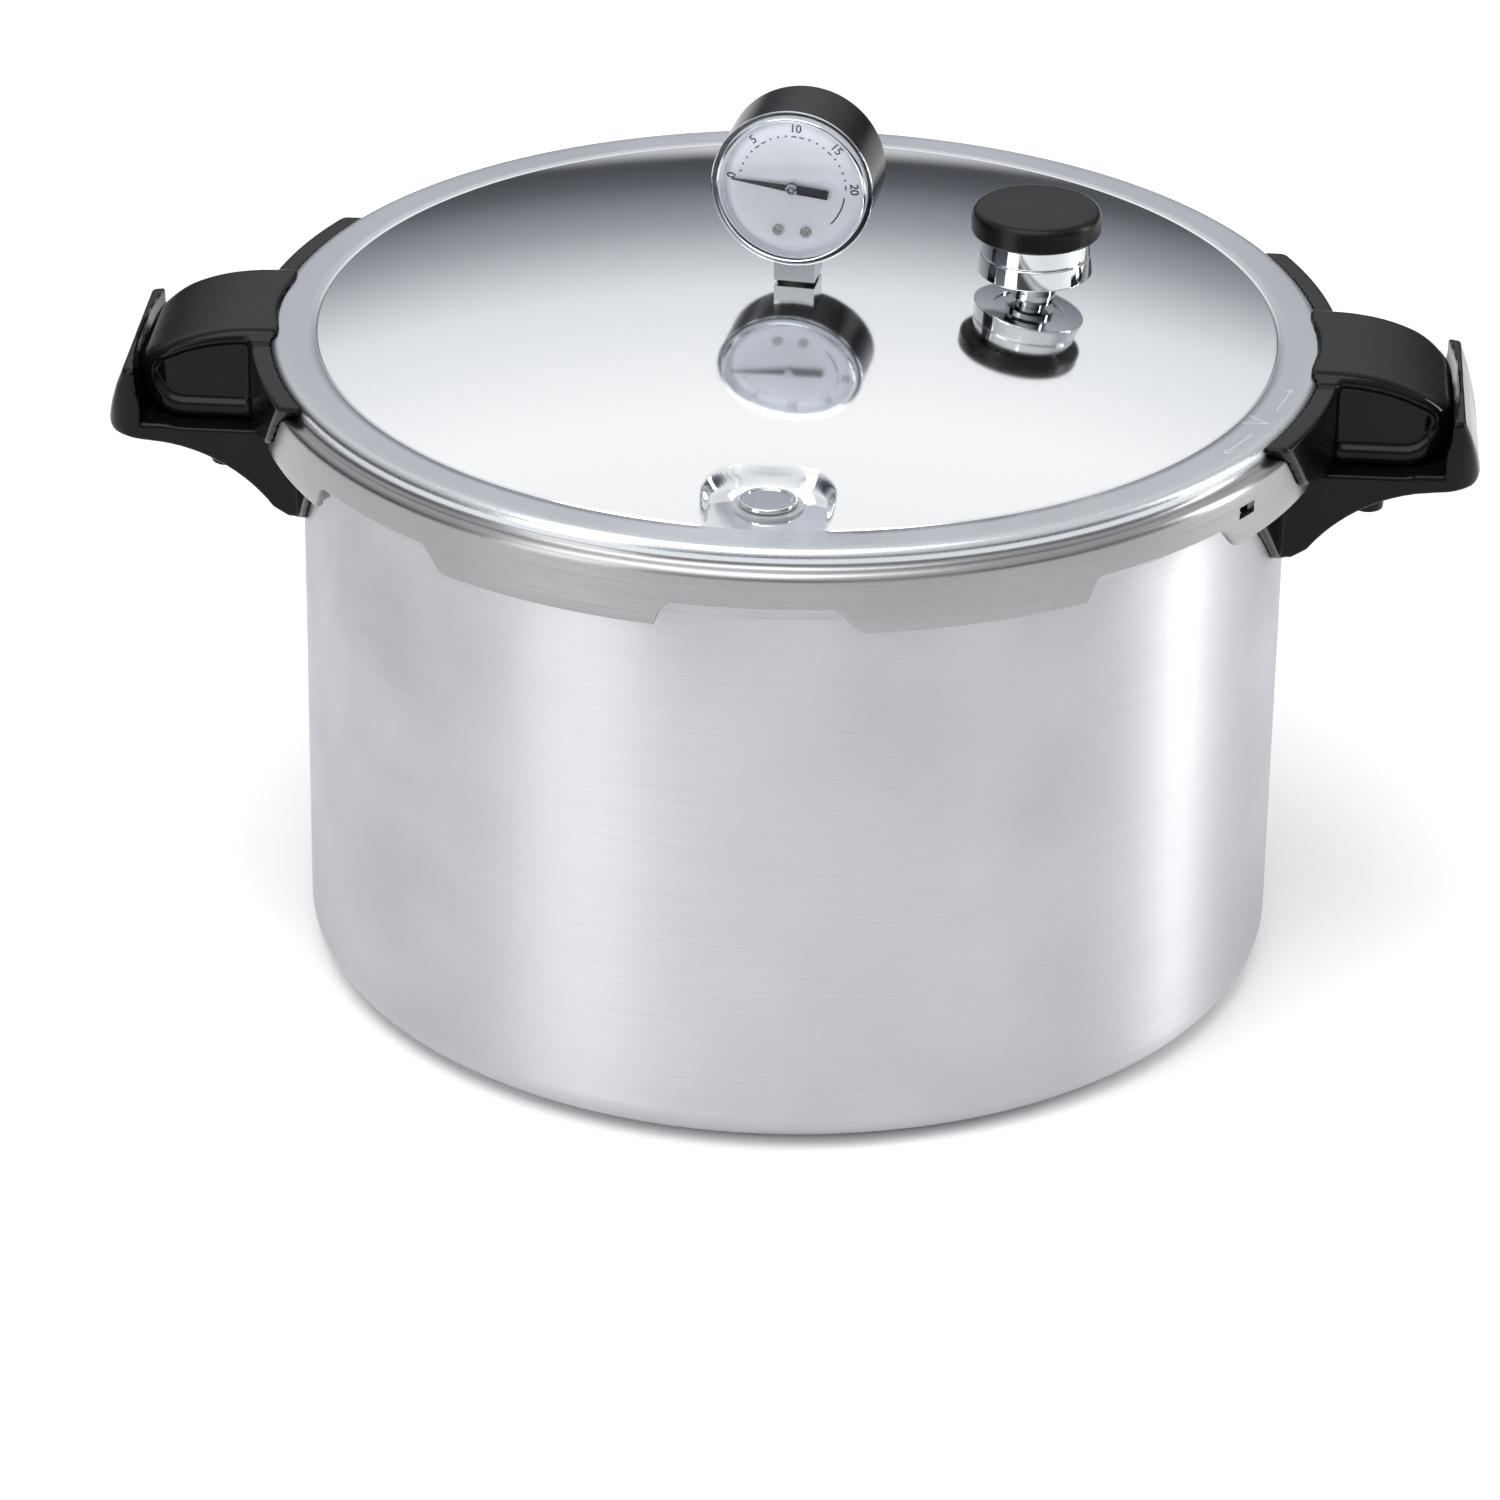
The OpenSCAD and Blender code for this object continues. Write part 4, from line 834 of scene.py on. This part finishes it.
CORE_R = 11.34
for level in ("lower", "upper"):
    turned_for(f"regulator_ring_{level}", f"weight_ring_{level}", lambda z0, z1, r: softened([
        (CORE_R, z0, 0.3), (r, z0, 0.45), (r - 0.75, z1, 0.7), (CORE_R, z1, 0.3),
    ]), chrome, "regulator", closed=True)
turned_for("regulator_knob", "regulator_cap", lambda z0, z1, r: np.concatenate([
    [[0, z0]], softened([(3.1, z0, 0), (r, z0, 1.3), (r, z1 - 0.1, 2.4), (r * 0.55, z1, 3), (0, z1, 0)], 7),
]), knob_phenolic, "regulator")


# ---------- cover lock ----------
# A chromed pin whose cup-shaped cap rests on a gasket and rises when steam lifts it.
turned_for("cover_lock_pin", "lock_pin", lambda z0, z1, r: softened([
    (0, z0, 0), (3.2, z0, 0.5), (3.2, z1 - 1.6, 0), (r, z1 - 1.6, 0.3), (r, z1, 0.5),
    (r - 1.6, z1, 0.3), (r - 1.6, z1 - 0.5, 0.15), (0, z1 - 0.5, 0),
]), chrome, "cover_lock")
finish_cad(seal_rubber, "cover_lock_cup")


# ---------- relief plug ----------
# A black rubber plug with a wide soft head, pushed through the dome.
finish_cad(seal_rubber, "relief_plug")


# ---------- gauge ----------
# A black enamelled case on a square chromed stem, a printed dial under a clear moulded
# crystal, and a brass movement that turns a thin black pointer.
GAUGE_TURN = math.radians(-7.5)
CASE_R, FRONT, BACK = 25.5, -12, 12
gauge_z = in_mm("gauge_case")[1][2] - CASE_R
on_gauge = Matrix.Translation((0, 0, gauge_z)) @ Matrix.Rotation(GAUGE_TURN, 4, "Z")
# Turned pieces are drawn about Z, and this lays that axis along the dial's: +Z comes forward
facing = on_gauge @ Matrix.Rotation(math.radians(90), 4, "X")

case_enamel = moulded_material("black_enamel_case", ("#0a0a0b", "#101011"), 0.2, 0.6, 0.03, 1.5, 0.2)
case_wall = turned("gauge_shell", softened([
    (0, -BACK, 0), (CASE_R, -BACK, 1.8), (CASE_R, -FRONT, 0.25), (CASE_R - 1.3, -FRONT, 0.2),
    (CASE_R - 1.3, 1.3 - BACK, 0.6), (0, 1.3 - BACK, 0),
], 6), case_enamel, 128, move=facing)
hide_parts("gauge_case")
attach(case_wall, "lid")

dial_paint = moulded_material("printed_white_dial", ("#e6e8ec", "#eceef1"), 0.42, 0.6, 0.02)
finish_cad(dial_paint, "gauge_dial")
finish_cad(stainless, "gauge_dial_screws")

crystal = new_material("clear_polystyrene_crystal")
crystal_scratch = add(crystal.node_tree, "ShaderNodeTexNoise", {"Scale": 260.0, "Detail": 2.0})
crystal_rough = add(crystal.node_tree, "ShaderNodeMapRange", {
    "Value": crystal_scratch.outputs["Fac"], "To Min": 0.01, "To Max": 0.05})
crystal_gloss = add(crystal.node_tree, "ShaderNodeBsdfPrincipled", {
    "Base Color": linear("#f4f8fc"), "Metallic": 1.0, "Roughness": crystal_rough.outputs["Result"]})
crystal_clear = add(crystal.node_tree, "ShaderNodeBsdfTransparent", {"Color": linear("#fdfdfe")})
crystal_edge = add(crystal.node_tree, "ShaderNodeFresnel", {"IOR": 1.4})
crystal_mix = add(crystal.node_tree, "ShaderNodeMixShader", {
    "Fac": crystal_edge.outputs["Fac"], 1: crystal_clear.outputs["BSDF"], 2: crystal_gloss.outputs["BSDF"]})
add(crystal.node_tree, "ShaderNodeOutputMaterial", {"Surface": crystal_mix.outputs["Shader"]})
WALL_IN, DEPTH = CASE_R - 3.2, 4.2
crystal_cover = turned("gauge_crystal", softened([
    (0, -FRONT + DEPTH - 1.3, 0), (WALL_IN, -FRONT + DEPTH - 1.3, 0.6), (WALL_IN, -FRONT + 0.04, 0),
    (CASE_R + 0.25, -FRONT + 0.04, 0.2), (CASE_R + 0.25, -FRONT + 1.3, 0.5),
    (WALL_IN + 1.3, -FRONT + 1.5, 0.5), (WALL_IN + 1.3, -FRONT + DEPTH, 1.1), (0, -FRONT + DEPTH, 0),
], 6), crystal, 128, move=facing, sharp=60)
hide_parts("gauge_window")
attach(crystal_cover, "lid")

# The print: numerals every five, a bar at each, dots between, and a warning arc
PRINT_Y = FRONT + 0.4 - 0.03
DEG_PER_UNIT = 8.5
ZERO_AT = 174.5
NUMERAL_R, DASH_R, DOT_R, WARNING_R = 19.6, 17.0, 17.1, 16.7
printed = []


def dial_place(radius, degrees, spin=0.0):
    """Where a mark of the print goes: out by radius at an angle, with its x pointing outward."""
    a = math.radians(degrees)
    place = Matrix.Translation((radius * math.cos(a), radius * math.sin(a), 0))
    return place @ Matrix.Rotation(a + spin, 4, "Z")


def numeral(text, radius, degrees, size):
    curve = bpy.data.curves.new("numeral", "FONT")
    curve.body, curve.size, curve.align_x, curve.align_y = text, size, "CENTER", "CENTER"
    curve.offset = 0.07
    letter = bpy.data.objects.new("numeral", curve)
    scene.collection.objects.link(letter)
    bpy.context.view_layer.update()
    mesh = letter.to_mesh()
    move = dial_place(radius, degrees, -math.pi / 2)
    printed.append(([move @ v.co for v in mesh.vertices], [list(p.vertices) for p in mesh.polygons]))
    letter.to_mesh_clear()
    bpy.data.objects.remove(letter)


def bar(radius, degrees, length, width):
    move = dial_place(radius, degrees)
    corners = [(-1, -1), (1, -1), (1, 1), (-1, 1)]
    printed.append(([move @ Vector((x * length / 2, y * width / 2, 0)) for x, y in corners], [[0, 1, 2, 3]]))


def dot(radius, degrees, size):
    move = dial_place(radius, degrees)
    turns = np.linspace(0, 2 * math.pi, 13)[:-1]
    ring = [move @ Vector((size * math.cos(a), size * math.sin(a), 0)) for a in turns]
    printed.append((ring, [list(range(12))]))


for unit in range(0, 21):
    at = ZERO_AT - DEG_PER_UNIT * unit
    if unit % 5 == 0:
        numeral(str(unit), NUMERAL_R, at - 1.5, 3.8)
    if unit in (5, 6, 10, 11, 15, 20):
        bar(DASH_R, at, 0.45, 1.6)
    elif unit:
        dot(DOT_R, at, 0.34)
for at in np.arange(-7, -42, -1.0):
    bar(WARNING_R, at - 0.5, 0.45, 0.36)
points, faces = [], []
for corners, polygons in printed:
    base = len(points)
    points += [on_gauge @ Vector((p[0], PRINT_Y, p[1])) for p in corners]
    faces += [[base + i for i in polygon] for polygon in polygons]
print_ink = moulded_material("black_dial_ink", ("#1c2024", "#262b30"), 0.5, 0.3, 0.02)
dial_print = solid("dial_print", points, faces, [print_ink])
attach(dial_print, "lid")

# Pointer: stamped from thin steel and blacked, with a tapered blade and a broad tail
finish_cad(moulded_material("blacked_steel_pointer", ("#101010", "#181818"), 0.4, 0.3, 0.02), "pointer")
finish_cad(chrome, "pointer_hub")
steel_parts = brushed_metal("turned_steel_movement", ("#b0b2b4", "#c8cacb"), 0.25, 0.3, 0.05, 0,
                            direction="none")
brass_parts = brushed_metal("stamped_brass_movement", ("#b08d4a", "#c9a660"), 0.28, 0.5, 0.05, 0,
                            direction="flat")
finish_cad(steel_parts, "pointer_spindle", "hairspring", "movement_link")
finish_cad(brass_parts, "bourdon_tube", "movement_frame", "sector_gear")
finish_cad(chrome, "gauge_stem")
